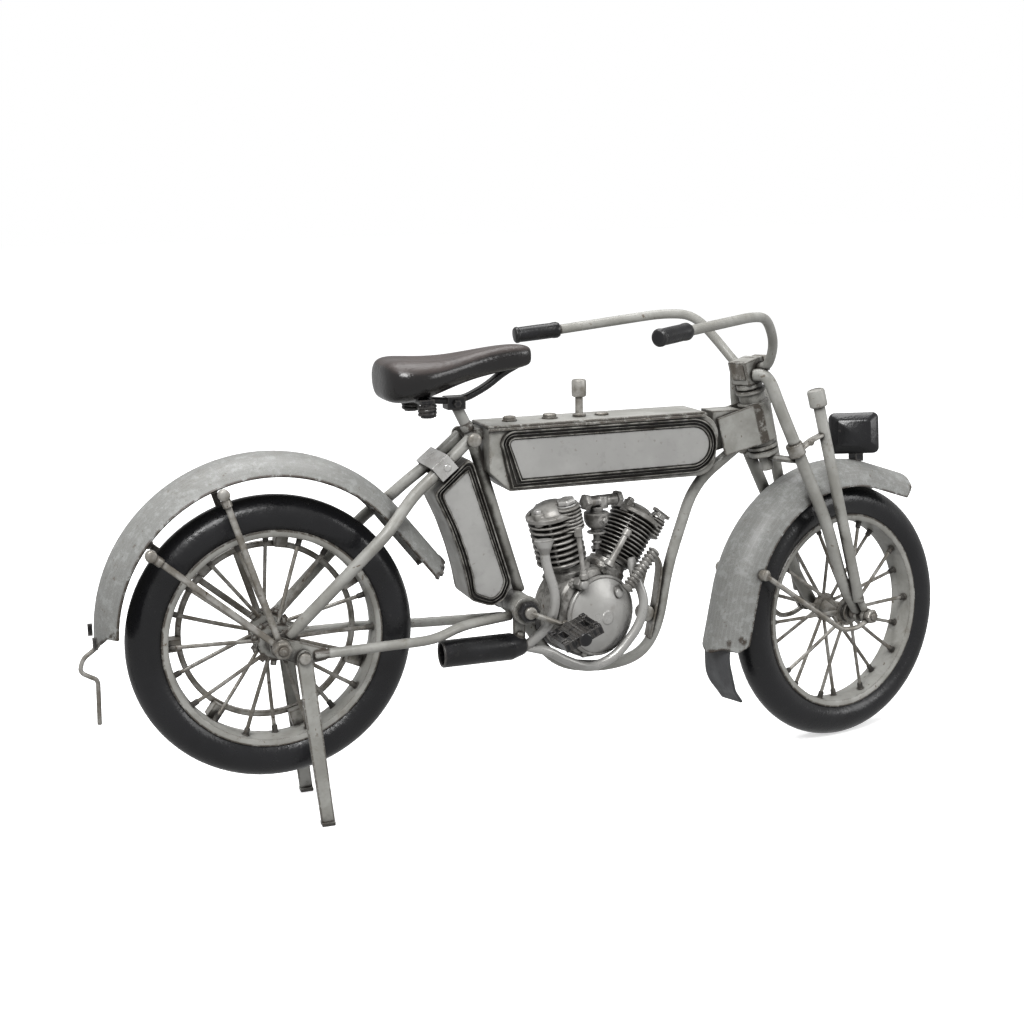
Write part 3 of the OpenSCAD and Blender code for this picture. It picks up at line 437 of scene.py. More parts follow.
def piece(name, shape, material, nodes=(), body="chassis", bevel=0.2, angle=32, smooth=0):
    """Makes one object from a Shape that is already in the row's frame."""
    mesh = bpy.data.meshes.new(name)
    mesh.from_pydata([tuple(p) for p in shape.points], [], shape.faces)
    mesh.validate()
    mesh.shade_smooth()
    if not smooth:
        mesh.set_sharp_from_angle(angle=rad(angle))
    made = bpy.data.objects.new(name, mesh)
    bpy.context.scene.collection.objects.link(made)
    mesh.materials.append(material)
    if bevel:
        edge = made.modifiers.new("soft_edges", "BEVEL")
        edge.width = bevel * 0.001
        edge.segments = 2
        edge.limit_method = "ANGLE"
        edge.angle_limit = rad(angle)
        edge.harden_normals = True
        edge.use_clamp_overlap = True
    if smooth:
        sub = made.modifiers.new("rounded", "SUBSURF")
        sub.levels = sub.render_levels = smooth
    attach(made, body)
    if nodes:
        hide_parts(*nodes)
    return made


# --- frame ---

s = Shape()
head = PLACED @ HEAD
s.turn([(2.3, -9.6), (5.1, -9.6), (5.1, -8.4), (4.4, -8.2), (4.4, -7), (5.4, -6.8), (5.4, 6.8), (4.4, 7), (4.4, 10),
        (5.1, 10.2), (5.1, 11.4), (2.3, 11.4)], head, closed=True)
for m in mirrored(head):
    s.slab([(-16.5, -6.6), (0, -7), (0, 7), (-16.5, 6.6)], -5.4, -4.4, m)
piece("head_lug_plate", s, PAINT, ["head_lug"])

s = Shape()
s.tube([(67.5, 0, 117.6), (152, 0, 117.6)], 2)
s.block(150, 160.6, -4.3, 4.3, 115, 120.4)
s.tube([(82.4, 0, 64.6), (66.4, 0, 118.6)], 1.9, soft=0.4)
s.tube(curve([(163.4, 0, 108.4), (145.4, 0, 95.6), (135.8, 0, 68), (132, 0, 46.6), (125, 0, 37.4), (110, 0, 35.4),
              (94, 0, 38.9), (82.4, 0, 56.8)], 9), 1.9)
piece("frame_tubes", s, PAINT, ["top_tube", "seat_tube", "down_tube"])


def hull_of_circles(circles):
    """Side outline round a few circles (x, z, r)."""
    points = sorted({spoke(r, TURN * k / 36, x, z) for x, z, r in circles for k in range(36)})

    def half(row):
        out = []
        for p in row:
            while len(out) > 1 and (out[-1][0] - out[-2][0]) * (p[1] - out[-2][1]) - (out[-1][1] - out[-2][1]) * (p[0] - out[-2][0]) <= 1e-9:
                out.pop()
            out.append(p)
        return out[:-1]

    return half(points) + half(points[::-1])


s = Shape()
for m in mirrored(PLACED):
    s.slab(hull_of_circles([(0, REAR_Z, 3.2), (PIVOT_X, PIVOT_Z, 2.6), (13, 55, 2)]), -15, -13.6, m)
s.tube(curve([(10, -14.3, 54.9), (49, -13, 55.1), (60, -8.6, 57.5), (77, -7, 58.7)], 5), 1.6, soft=0.5)
s.tube(curve([(10, 14.3, 54.9), (34, 13.4, 54.9), (50, 9, 55), (78.8, 6.4, 54.8)], 6), 1.6, soft=0.5)
piece("chain_stay_pair", s, PAINT, ["chain_stays"])

s = Shape()
for m in mirrored(PLACED):
    s.slab(hull_of_circles([(0, REAR_Z, 3), (4.4, 62.7, 2)]), -13.3, -12, m)
    s.tube(curve([(2.6, -12.7, 61), (35, -15.1, 91.6), (42, -9.6, 97.8), (46.4, -8, 102), (55.6, -6.4, 108.9),
                  (65, -5.6, 117.2)], 5),
           1.9, m, soft=0.5)
piece("seat_stay_pair", s, PAINT, ["seat_stays"])

s = Shape()
clamp = PLACED @ shift(55.4, 0, 108.9) @ turned(-39, "Y")
band_outline = [(-9.1, -2.8), (9.1, -2.8), (9.1, 2.8), (-9.1, 2.8)]
inner = [(-8.4, -2.1), (8.4, -2.1), (8.4, 2.1), (-8.4, 2.1)]
s.loft([[(x, y, z) for y, z in form] for x, form in ((-3.3, inner), (-3.3, band_outline), (3.3, band_outline),
                                                     (3.3, inner))], clamp,
       caps=False, loop=True)
for m in mirrored(clamp):
    s.stud(0.6, -0.4, -9.1, -9.5, 1.2, m, dome=0.3)
piece("stay_band", s, BRIGHT, ["stay_clamp"])

s = Shape()
for m in mirrored(PLACED):
    s.stud(65.4, 117, -7.8, -9.6, 2.3, m, dome=0.8)
    for x, z in STAY_TOPS:
        s.stud(x, z, -12.4, -15.1, 1.8, m, dome=0.6)
        s.stud(x, z, -11.2, -12.6, 1.2, m)
    s.stud(PIVOT_X, PIVOT_Z, -13.2, -17.4, 0.9, m)
    s.stud(PIVOT_X, PIVOT_Z, -17.3, -18.3, 1.9, m, dome=0.5)
piece("round_bolts", s, STEEL, ["frame_bolts"])

s = Shape()
for m in mirrored(PLACED):
    s.spin((BRACKET_X, 0, BRACKET_Z), (BRACKET_X, -13, BRACKET_Z),
           [(4.2, 0), (4.2, 10.6), (4.7, 10.8), (4.7, 12.7), (4.4, 13), (2.05, 13)], m)
s.block(76.9, 80.9, -9.6, -8.4, 50.4, 61)
s.stud(78.9, 52.4, -9.6, -10.6, 1.4, dome=0.5)
piece("bracket_tube", s, PAINT, ["bracket_sleeve"])

s = Shape()
s.tube([(0, -19.7, REAR_Z), (0, 19.7, REAR_Z)], 1.5, soft=0.35)
for m in mirrored(PLACED):
    s.stud(0, REAR_Z, -9.4, -12, 2.4, m)
    s.stud(0, REAR_Z, -16.5, -19.1, 3, m, sides=6, edge=0.5)
    s.stud(0, REAR_Z, -15.0, -16.6, 2.9, m, edge=0.3)
piece("rear_axle_set", s, STEEL, ["rear_axle"])

# --- tank ---

tank = [(70.4, 106), (77, TANK_LOW)] + arc(143.2, TANK_LOW + 6.6, 6.6, -90,
                                           0) + arc(143.2, TANK_TOP - 7.4, 7.4, 0, 84) + [(70.4, TANK_TOP)]
s = Shape()
s.slab(tank, -8, 8)
piece("tank_body", s, PAINT, ["tank_shell"], bevel=0.5)

s = Shape()
s.block(70, 145.4, -8.5, 8.5, TANK_TOP, TANK_TOP + LID)
for m in mirrored(PLACED):
    s.block(70, 145.4, -8.9, -8, TANK_TOP - 0.9, TANK_TOP + 0.1, m)
piece("tank_cover", s, PAINT, ["tank_lid"], bevel=0.3)


def panel_route(d):
    return ([(77.4 + 1.3 * d, TANK_LOW + 1 + d)] + arc(140.6, TANK_TOP - 10.1, 9.1 - d, -90, 90, 24)
            + arc(78.8, TANK_TOP - 5.6, 4.6 - d, 90, 176, 8))


def beads(shape, route_at, y, depths, r, proud, m):
    """Round beads that follow an outline, half sunk in the side."""
    for d in depths:
        ring = [Vector((x, y, z)) for x, z in route_at(d)]
        dense = []
        for a, b in zip(ring, ring[1:] + ring[:1]):
            n = max(1, int((b - a).length / 3))
            dense += [a.lerp(b, k / n) for k in range(n)]
        form = [(r * math.cos(TURN * k / 10), proud * math.sin(TURN * k / 10)) for k in range(10)]
        shape.sweep(dense, form, m, side=(0, 1, 0), loop=True)


s, plates, bed = Shape(), Shape(), Shape()
for m in mirrored(PLACED):
    beads(s, panel_route, -8.1, (0.35, 2.45), 0.42, 1.15, m)
    beads(s, panel_route, -8.0, (1.4,), 0.3, 0.7, m)
    plates.slab(panel_route(2.8), -8.75, -7.8, m)
    bed.slab(panel_route(-0.2), -8.12, -7.7, m)
piece("tank_beads", s, BEAD, ["tank_panels"], bevel=0)
piece("tank_plates", plates, PANEL, bevel=0.4)

s = Shape()
for x in (80, 93.8):
    s.turn([(2.6, 0), (2.6, 0.4), (2.2, 0.45), (2.2, 1.3), (1.8, 1.6)], PLACED @ shift(x, 0, TANK_TOP + LID),
           6 if x == 80 else 28)
s.turn([(2.3, 0), (2.3, 0.5), (1.9, 0.8)], PLACED @ shift(112, 0, TANK_TOP + LID), 28)
piece("tank_caps", s, STEEL, ["tank_fittings"], bevel=0.1)

s = Shape()
pump = PLACED @ shift(104.1, 0, TANK_TOP + LID)
s.turn([(2.2, 0), (2.2, 0.7), (1.3, 1), (1.25, 7)], pump, 24)
s.turn([(1.9, 6.4), (2.3, 6.7), (2.4, 7.4), (2.4, 11.4), (2.15, 12), (1.5, 12.1), (1.45, 11.9)], pump, 32)
piece("oil_pump_knob", s, STEEL, ["oil_pump"], bevel=0.1)

# --- toolbox ---


def box_corners(d):
    return [(51.8 + d * 1.1, 100.8 - d * 0.2), (63, 110.9 - d * 1.4), (64.8 - d * 0.6, 110.4 - d * 1.4),
            (77 - d, 69.6 + d * 0.4), (74.4 - d * 0.6, 64.4 + d), (70.2, 62.6 + d), (63 + d * 0.6, 65.2 + d),
            (61.6 + d, 73), (59.6 + d, 81), (56.6 + d, 90)]


def box_route(d):
    """The toolbox's outline with its corners rounded off."""
    corners = [Vector((x, 0, z)) for x, z in box_corners(d)]
    start = (corners[0] + corners[-1]) / 2
    return [(p.x, p.z) for p in curve([start] + corners + [start], 1.6, 4)[:-1]]


s = Shape()
s.slab(box_route(0), -7.5, 7.5)
piece("toolbox_body", s, PAINT, ["toolbox_shell"], bevel=0.5)
s, plates = Shape(), Shape()
for m in mirrored(PLACED):
    beads(s, box_route, -7.6, (0.35, 2.3), 0.42, 1.0, m)
    beads(s, box_route, -7.5, (1.3,), 0.3, 0.7, m)
    plates.slab(box_route(2.6), -8.15, -7.3, m)
    bed.slab(box_route(0.1), -7.62, -7.2, m)
piece("toolbox_beads", s, BEAD, ["toolbox_panels"], bevel=0)
piece("toolbox_plates", plates, PANEL, bevel=0.4)
# The near-black sheets under the beads show as dark lines between the beads and round their outer edge.
piece("bead_beds", bed, DARK, bevel=0)

# --- fenders ---


def fender_skin(shape, centre, crown_r, drop, half_w, start, end, front, rear, matrix, across=20, t=0.75):
    """Thin half-round sheet. front and rear give the straight length past the arc for each place across, -1 to 1."""
    arc_r = (drop * drop + half_w * half_w) / (2 * drop)
    half_angle = math.asin(min(1, half_w / arc_r))
    columns = [k / across * 2 - 1 for k in range(across + 1)]
    cx, cz = centre

    def stretch(u, lift):
        """Points along one column: along the front straight, the arc and the rear straight."""
        a = half_angle * u
        r = crown_r - arc_r + (arc_r - lift) * math.cos(a)
        y = (arc_r - lift) * math.sin(a)
        out = []
        out += [(start, r, y, front(u) * (1 - k / 6)) for k in range(6)]
        out += [(start + (end - start) * k / 56, r, y, 0.0) for k in range(57)]
        out += [(end, r, y, -rear(u) * k / 6) for k in range(1, 7)]
        points = []
        for degrees, radius, side, along in out:
            c, n = spoke(1, rad(degrees))
            points.append((cx + radius * c + along * n, side, cz + radius * n - along * c))
        return points

    outer = [stretch(u, 0) for u in columns]
    inner = [stretch(u, t) for u in columns]
    return shape.loft([[column[k] for column in outer + inner[::-1]] for k in range(len(outer[0]))], matrix)


random.seed(7)
ragged = [random.uniform(-0.8, 0.8) for _ in range(21)]
s = Shape()
fender_skin(s, (-0.3, 63.5), 53.4, 5.9, 11.9, 38, 178,
            lambda u: 23.6 + ragged[round((u + 1) * 10)] - 0.4 * abs(u),
            lambda u: 2.6 if abs(u) < 0.42 else 2.6 - 9.5 * (abs(u) - 0.42), PLACED)
piece("rear_fender_sheet", s, FENDER, ["rear_fender"], bevel=0.12)

s = Shape()
random.seed(5)
lip = []
arc_r = (5.9 ** 2 + 11.9 ** 2) / (2 * 5.9)
for k in range(33):
    u = k / 16 - 1
    a = math.asin(11.9 / arc_r) * u
    r, y = 53.4 - arc_r + arc_r * math.cos(a) - 0.3, arc_r * math.sin(a)
    along = 23.4 + ragged[round((u + 1) * 10)] - 0.4 * abs(u) + random.uniform(-0.3, 0.3)
    c, n = spoke(1, rad(38))
    lip.append((-0.3 + r * c + along * n, y, 63.5 + r * n - along * c))
s.tube(lip, lambda t: 0.62 + 0.16 * math.sin(37 * t) + 0.1 * math.sin(91 * t), sides=10, soft=0.2)
for m in mirrored(PLACED):
    s.block(-54.8, -53.4, -9.3, -7.7, 62.4, 66.0, m)
piece("fender_lip", s, SOOTY, bevel=0)

s = Shape()


def front_tail(u):
    """The tail is cut square, with a shallow scallop up each side."""
    a = abs(u)
    return 20.6 + 1.2 * math.cos(a * 6) if a < 0.75 else 20.2 - 13 * (a - 0.75)


fender_skin(s, (202, 46), 53, 9, 10.2, 72, 165, lambda u: 17.4 - 2.6 * max(0, abs(u) - 0.7) / 0.3, front_tail,
            STEERED)
piece("front_fender_sheet", s, FENDER, ["front_fender"], body="steering", bevel=0.12)

s = Shape()
for m in mirrored(PLACED):
    for x, z in STAY_TOPS:
        a, b = Vector((0, -15.95, REAR_Z)), Vector((x, -13.1, z))
        s.sweep([a.lerp(b, k / 8) for k in range(9)], flat(0.9, 2.1, 0.3), m, side=(0, 1, 0))
        top = b + (a - b).normalized() * 1.6
        s.spin(top, top + (a - b).normalized() * 4, [(1.5, 0), (1.5, 2.2), (1.2, 2.5)], m, 20)
    s.slab(hull_of_circles([(0, REAR_Z, 2.6)]), -16.4, -15.5, m)
piece("rear_fender_strips", s, STEEL, ["rear_fender_stays"], bevel=0.15)

s = Shape()
s.tube(curve([(-52.2, 0, 62), (-53.4, 0, 60.4), (-57.4, 0, 57.6), (-58.6, 0, 53.6), (-55.8, 0, 51.8),
              (-53.4, 0, 50.6), (-53.8, 0, 36.4)], 1.7, 5), 0.72, sides=12, soft=0.2)
piece("stand_clip_wire", s, STEEL, ["stand_clip"], bevel=0)

# --- saddle ---

s = Shape()
s.tube([(66.4, 0, 118.6), (61.6, 0, 128.4)], 1.8)
s.spin((66.4, 0, 118.6), (61.6, 0, 128.4), [(2.0, 0.4), (2.15, 0.8), (2.15, 2.4), (2.0, 2.8)], sides=28)
piece("seat_post_tube", s, PAINT, ["seat_post"], bevel=0.15)

s = Shape()
s.sweep(curve([(47, 0, 130.4), (58, 0, 128.9), (65, 0, 129.2), (72.5, 0, 132.8), (78, 0, 136.8), (83.5, 0, 139.4)],
              3),
        flat(4, 2, 0.5), side=(0, 1, 0))
s.block(47, 52, -11.4, 11.4, 129.6, 131)
s.block(58.6, 64.6, -2.9, 2.9, 126.2, 130.2)
s.stud(61.6, 128.2, -2.9, -4.4, 1.4, sides=6)
s.stud(61.6, 128.2, 2.9, 4.4, 1.4, sides=6)
piece("saddle_strap", s, GLOSS, ["saddle_frame"], bevel=0.25)

s = Shape()
for m in mirrored(PLACED):
    s.turn([(2.0, 125.2), (2.1, 125.4), (2.1, 129.6)], m @ shift(50, -9.4, 0), 24)
    coil = []
    for k in range(75):
        coil.append((*spoke(2.4, TURN * k / 24, 50, -9.4), 125.8 + 3.2 * k / 74))
    s.tube(coil, 0.6, m, 8)
piece("saddle_coils", s, GLOSS, ["saddle_springs"], bevel=0)


def saddle_ring(x, half_w, top, low, dish, tuck, n=40):
    """Cross-section: a dished top with a clear shoulder over sides that lean in to a rolled lower edge."""
    ring = []
    for k in range(n):
        c, q = spoke(1, TURN * k / n)
        if q >= 0:
            y = half_w * math.copysign(abs(c) ** 0.72, c)
            z = top - (top - low) * 0.5 * (1 - q ** 0.9)
            z -= dish * math.cos(min(1, abs(y) / (half_w * 0.72)) * math.pi / 2) ** 2
        else:
            y = half_w * (1 - tuck * abs(q) ** 1.2) * math.copysign(abs(c) ** 0.42, c)
            z = top - (top - low) * 0.5 - (top - low) * 0.5 * abs(q) ** 0.75
        ring.append((x, y, z))
    return ring


sections = [
    (36.8, 4.6, 139.2, 134.0, 0.1, 0.1), (37.2, 9.2, 141.6, 131.8, 0.3, 0.12),
    (38.6, 12.6, 143.2, 130.2, 0.6, 0.16),
    (41.4, 14.6, 144.0, 129.6, 1.1, 0.2), (45.2, 15.2, 144.0, 129.6, 1.7, 0.24),
    (49.4, 14.9, 143.7, 130.2, 2.0, 0.26),
    (54.0, 13.5, 143.5, 131.6, 2.0, 0.26), (59.0, 11.2, 143.6, 133.2, 1.7, 0.24),
    (64.2, 8.8, 144.2, 134.8, 1.2, 0.2),
    (69.4, 7.0, 144.9, 136.0, 0.7, 0.16), (74.6, 5.7, 145.5, 136.9, 0.3, 0.12),
    (79.6, 4.9, 145.8, 137.6, 0.1, 0.08),
    (84.0, 4.2, 145.6, 138.3, 0.0, 0.06), (86.6, 3.2, 144.9, 139.0, 0.0, 0.04), (87.3, 1.8, 143.8, 140.2, 0.0, 0.0),
]
s = Shape()
s.loft([saddle_ring(*row) for row in sections])
piece("saddle_hide", s, SADDLE, ["saddle"], bevel=0, smooth=2)

# --- engine ---

s = Shape()
s.turn([(0.1, -7.5), (13.2, -7.5), (14.6, -7.1), (15.3, -6), (15.3, -2.2), (14.7, -1.8), (14.7, 1.8), (15.3, 2.2),
        (15.3, 6), (14.6, 7.1), (13.2, 7.5), (0.1, 7.5)], ENGINE @ along_y, 72)
for lean, x in ((-14, -1.4), (36, 1)):
    s.turn([(7.2, 10), (7.2, 15.6), (6.4, 16.4), (6.4, 17.6)], ENGINE @ shift(x, 0, 0) @ turned(lean, "Y"), 40)
for angle in (20, 75, 130, 200, 250, 300, 340):
    x, z = spoke(14.2, rad(angle))
    for m in mirrored(ENGINE):
        s.stud(x, z, -6.4, -8.1, 1.3, m, sides=6, edge=0.3)
piece("crank_case", s, CASTING, ["crankcase"], bevel=0.2)


def dome(ring_r, cap_r, bulge, n=14):
    """A flat ring with a rolled rim and a shallow dome with a small boss."""
    ball = (cap_r ** 2 + bulge ** 2) / (2 * bulge)
    out = [(ring_r, 0), (ring_r, 1.1), (ring_r - 0.4, 1.5), (ring_r - 1.0, 1.5), (cap_r + 0.1, 1.0)]
    for k in range(n + 1):
        r = cap_r - (cap_r - 2.4) * k / n
        out.append((r, 1.4 + math.sqrt(ball * ball - r * r) - (ball - bulge)))
    crown = out[-1][1]
    return out + [(2.2, crown + 0.3), (1.8, crown + 0.35), (0.3, crown + 0.15)]


s = Shape()
s.turn(dome(13.6, 12.6, 3.4), ENGINE @ shift(1.6, -7.5, -1) @ along_y, 72)
s.turn(dome(13, 12, 3), ENGINE @ shift(0, 7.5, 0) @ turned(-90, "X"), 72)
for x, z in ((-7.2, 11.4), (7.2, 6.2)):
    s.stud(x, z, -7.5, -12.1, 1.6, ENGINE, dome=0.6)
    s.stud(x, z, -7.5, -10.6, 2.2, ENGINE, sides=6, edge=0.4)
piece("cover_domes", s, COVER, ["engine_covers"], bevel=0.15)


def barrel(shape, m, fins, top=34.0, base=18.4, r=8.4):
    """Cooling fins with rounded rims round a thinner barrel."""
    pitch = (top - base) / fins
    profile = [(6.0, 17.2)]
    for k in range(fins):
        z = base + pitch * k
        profile += [(6.0, z), (r - 0.3, z + pitch * 0.06), (r, z + pitch * 0.2), (r, z + pitch * 0.34),
                    (r - 0.3, z + pitch * 0.48), (6.0, z + pitch * 0.54)]
    profile.append((6.0, top + 0.1))
    shape.turn(profile, m, 40)
    for a in (45, 135, 225, 315):
        x, y = spoke(6.9, rad(a))
        shape.tube([(x, y, 17.6), (x, y, top)], 0.55, m, 8)


def head_top(shape, m, rocker, at=(6.2, -3.6), r=3.4, low=31.4):
    """Domed head with its joint ring, finned valve chest, side stub and small bolts."""
    shape.turn([(8.0, 34), (8.7, 34.3), (8.7, 35.5), (8.1, 36), (6.9, 36.1), (6.4, 36.9), (5.4, 37.8), (4, 38.5),
                (2.2, 38.9), (0.2, 39)], m, 40)
    chest = m @ shift(*at, 0)
    fins = round((37.8 - low) / 1.28)
    profile = [(r - 0.8, low - 0.2)]
    for k in range(fins):
        z = low + (37.8 - low) / fins * k
        profile += [(r - 0.8, z), (r - 0.2, z + 0.1), (r, z + 0.35), (r, z + 0.55), (r - 0.2, z + 0.75),
                    (r - 0.8, z + 0.85)]
    shape.turn(profile + [(r - 0.8, 37.8), (0.2, 37.8)], chest, 32)
    shape.turn([(1.7, 33.4), (1.9, 33.6), (1.9, 37.5), (1.5, 37.8)], m @ shift(-6.4, -2, 0), 24)
    for k in range(6):
        x, y = spoke(7.2, rad(30 + 60 * k))
        if math.hypot(x - at[0], y - at[1]) > r + 0.8:
            shape.turn([(0.8, 35.6), (0.8, 36.7), (0.55, 37)], m @ shift(x, y, 0), 6)
    if rocker:
        shape.block(3.2, 10.6, -4.4, -2.8, 39.8, 40.9, m)


def caps_of(shape, m, at=(6.2, -3.6), r=2.7):
    shape.turn([(r + 0.4, 37.7), (r + 0.4, 38.2)], m @ shift(*at, 0), 28)
    shape.turn([(r, 38.2), (r, 39.3), (r - 0.4, 39.8), (0.3, 39.9)], m @ shift(*at, 0), 6)
    shape.turn([(1.3, 37.7), (1.3, 38.6), (1, 38.9)], m @ shift(-6.4, -2, 0), 16)


rear_cyl = ENGINE @ shift(-3.4, 0, 0) @ turned(-14, "Y")
front_cyl = ENGINE @ shift(2.6, 0, 0) @ turned(36, "Y")
for name, m, fins, node in (("rear_barrel", rear_cyl, 8, "cylinder_rear"),
                            ("front_barrel", front_cyl, 11, "cylinder_front")):
    s = Shape()
    barrel(s, m, fins)
    piece(name, s, PEWTER, [node], bevel=0, angle=50)
s = Shape()
head_top(s, rear_cyl, False, (2.8, -5.6), 4.3, 29.2)
head_top(s, front_cyl, True)
piece("head_castings", s, PEWTER, ["cylinder_heads"], bevel=0.1, angle=50)
s = Shape()
caps_of(s, rear_cyl, (2.8, -5.6), 3.2)
caps_of(s, front_cyl)
piece("valve_caps", s, BRIGHT, bevel=0.15)

s = Shape()
s.tube([(-7.2, -11.1, 13.2), (-8.4, -9.3, 30)], 0.8, ENGINE, 16)
s.spin((-8.2, -9.6, 27.2), (-8.4, -9.3, 30.4), [(1.3, 0), (1.4, 0.3), (1.4, 2.8), (1.1, 3.2)], ENGINE, 16)
s.spin((-7.2, -11.1, 13.2), (-7.4, -10.8, 16.2), [(1.5, 0), (1.5, 1.4), (1.1, 1.8), (1.1, 3)], ENGINE, 16)
s.tube([(4.4, -9.2, 15.5), (12.6, -9.6, 26.6)], lambda t: 1.2 - 0.3 * t, ENGINE, 16)
s.spin((4.4, -9.2, 15.5), (12.6, -9.6, 26.6), [(1.7, 0), (1.7, 1.6), (1.2, 2)], ENGINE, 16)
s.spin((12.6, -9.6, 26.6), (4.4, -9.2, 15.5), [(1.3, 0), (1.4, 0.4), (1.4, 2.2), (0.9, 2.6)], ENGINE, 16)
piece("push_rods", s, PEWTER, ["pushrods"], bevel=0.1)

s = Shape()
a, b = Vector((8.6, -13.2, 7.6)), Vector((20.4, -14, 19.4))
length = (b - a).length
profile = [(1.3, 0)]
turns = 12
for k in range(turns):
    z = length * (k + 0.15) / turns
    step = length / turns
    profile += [(1.55, z), (2.0, z + step * 0.15), (2.2, z + step * 0.35), (2.0, z + step * 0.55),
                (1.55, z + step * 0.7)]
s.spin(a, b, profile + [(1.3, length)], ENGINE, 28)
piece("corrugated_hose", s, PEWTER, ["spring_hose"], bevel=0, angle=60)

s = Shape()
s.tube([(-1.5, -3.6, 36.6), (14, -3.6, 36.2)], 1.9, ENGINE, 24)
for x, z in ((-1.4, 36.6), (11.8, 36.3)):
    s.spin((x, -3.6, z), (x + 1.9, -3.6, z - 0.05), [(2.4, 0), (2.8, 0.3), (2.8, 1.6), (2.4, 1.9)], ENGINE, 6)
s.spin((6, -3.6, 38), (6, -3.6, 34), [(2.1, 0), (2.3, 0.4), (2.3, 4)], ENGINE, 24)
piece("intake_pipe", s, GUNMETAL, ["intake_manifold"], bevel=0.1)

s = Shape()
carb = ENGINE @ shift(3.8, -3.6, 0)
s.turn([(0.9, 20.4), (1.1, 20.8), (1.1, 22.4), (1.7, 22.6), (1.7, 23.2), (1.1, 23.4), (1.1, 25.4), (1.7, 25.5),
        (3, 25.8), (3.1, 26.4), (1.8, 26.7),
        (1.8, 27.4), (2.6, 27.7), (3.4, 28.6), (4.0, 30), (4.2, 31.5), (4.2, 32.6), (3.9, 32.9), (2.3, 33.1),
        (2.2, 34.7)], carb, 32)
s.spin((0, -2.6, 30.7), (0, -5.2, 30.7), [(1.6, 0), (1.6, 1.4), (1.1, 1.5), (1.1, 2.3), (0.8, 2.6)], carb, 6)
piece("carb_body", s, GUNMETAL, ["carburettor"], bevel=0.1, angle=40)

s = Shape()
s.spin((86.6, -12.4, 84), (86.8, -12.8, 79.6), [(2.8, 0), (3.2, 0.25), (3.1, 0.9), (2.4, 2.4), (1.75, 4.2),
                                                (1.6, 4.6)], sides=28)
s.tube(curve([(86.6, -12.6, 82), (87, -13, 76), (90.6, -13, 65), (88.6, -12.9, 56), (81.6, -9.6, 48.8),
              (79.4, -9.2, 48.8)], 5), 1.6)
s.tube(curve([(120.6, -3.4, 73), (121.2, -5.4, 67.6), (124, -8, 59), (121.4, -9, 51), (113, -9, 41.4),
              (103.5, -9, 38), (94, -9, 42.4), (89, -9.4, 46), (79.4, -9, 48.8)], 4.6), 1.6)
piece("exhaust_tubes", s, COVER, ["exhaust_pipes"], bevel=0)

s = Shape()
s.turn([(3.55, 15), (3.55, 0.3), (3.8, 0), (4.2, 0), (4.4, 0.25), (4.4, 23.6), (4.1, 24.4), (3.1, 27.6),
        (2.5, 28.5), (1.9, 28.6), (0.2, 15)],
       PLACED @ shift(52.4, -9, 48.9) @ turned(90, "Y"), 44)
piece("muffler_can", s, SOOTY, ["muffler"], bevel=0.1)

s = Shape()
s.sweep(curve([(125.2, 0, 61.5), (127.4, 0, 70), (130.4, 0, 73.4), (132.8, 0, 69), (131.2, 0, 57), (128.4, 0, 44)],
              3),
        flat(5, 0.9, 0.25), side=(0, 1, 0))
s.stud(127.4, 52.6, 2.4, -2.4, 2.8, dome=0.6)
piece("strap_loop", s, STEEL, ["engine_strap"], bevel=0.15)

# --- front end ---

s = Shape()
steer_head = STEERED @ HEAD
s.turn([(1.9, -17.6), (2.2, -17.3), (2.2, -12.2), (5, -12.1), (5, -10.1), (2.2, -10), (2.2, 11.8), (4.4, 11.8),
        (4.4, 13.5), (2.6, 13.6)], steer_head, 40)
s.block(-3.6, 4.4, -4.4, 4.4, 13.6, 21.6, steer_head)
crown = STEERED @ shift(176.4, 0, 102) @ turned(14, "Y")
s.loft([[(x, y, z) for x, y in form] for z in (-0.9, 0.9) for form in [[(-4.5, -9), (-3, -12), (3, -12), (4.5, -9), (4.5, 9), (3, 12), (-3, 12), (-4.5, 9)]]], crown)
piece("fork_stem_block", s, PAINT, ["fork_stem"], body="steering", bevel=0.35)

s = Shape()
for m in mirrored(STEERED):
    s.stud(WHEELBASE, FRONT_Z, -11, -12.4, 2.7, m)
    s.tube(curve([(164, -4.2, 131.4), (167, -8.2, 131.4), (169.6, -11.2, 120), (174.8, -13.2, 106),
                  (187.6, -13, 80), (195.6, -12, 58), (203.2, -11.7, 46.2)], 6), 2.1, m, soft=0.5)
piece("fork_leg_pair", s, PAINT, ["fork_legs"], body="steering", bevel=0)

s = Shape()
for m in mirrored(STEERED):
    s.stud(WHEELBASE, FRONT_Z, -14.6, -16, 2.6, m)
    s.tube([(203.2, -15.3, 46.8), (200, -15.3, 52.6)], 1.3, m, 16)
    s.tube([(200.4, -15.3, 50.6), (184.2, -13.6, 121.4)], 1.95, m, soft=0.4)
    s.spin((184.5, -13.7, 119.6), (183.1, -13.5, 125.8), [(2.6, 0), (3, 0.4), (3, 5.2), (2.7, 5.9), (1.9, 6.1),
                                                          (1.8, 5.8)], m, 32)
piece("spring_tube_pair", s, PAINT, ["spring_tubes"], body="steering", bevel=0.1)

s = Shape()
for m in mirrored(STEERED):
    s.spin((173.6, -12.9, 107.9), (175.4, -13.1, 104), [(2.15, 0), (2.9, 0), (2.9, 4.3), (2.15, 4.3)], m, 32)
    s.sweep(curve([(176.6, -13.4, 106.2), (181, -13.6, 108.6), (185.4, -13.8, 110)], 1), flat(3.2, 1.2, 0.3), m,
            side=(0, 1, 0))
    s.stud(180, 108, -14.2, -15.2, 1.2, m, dome=0.4)
piece("fork_bands", s, STEEL, ["fork_clamps"], body="steering", bevel=0.15)

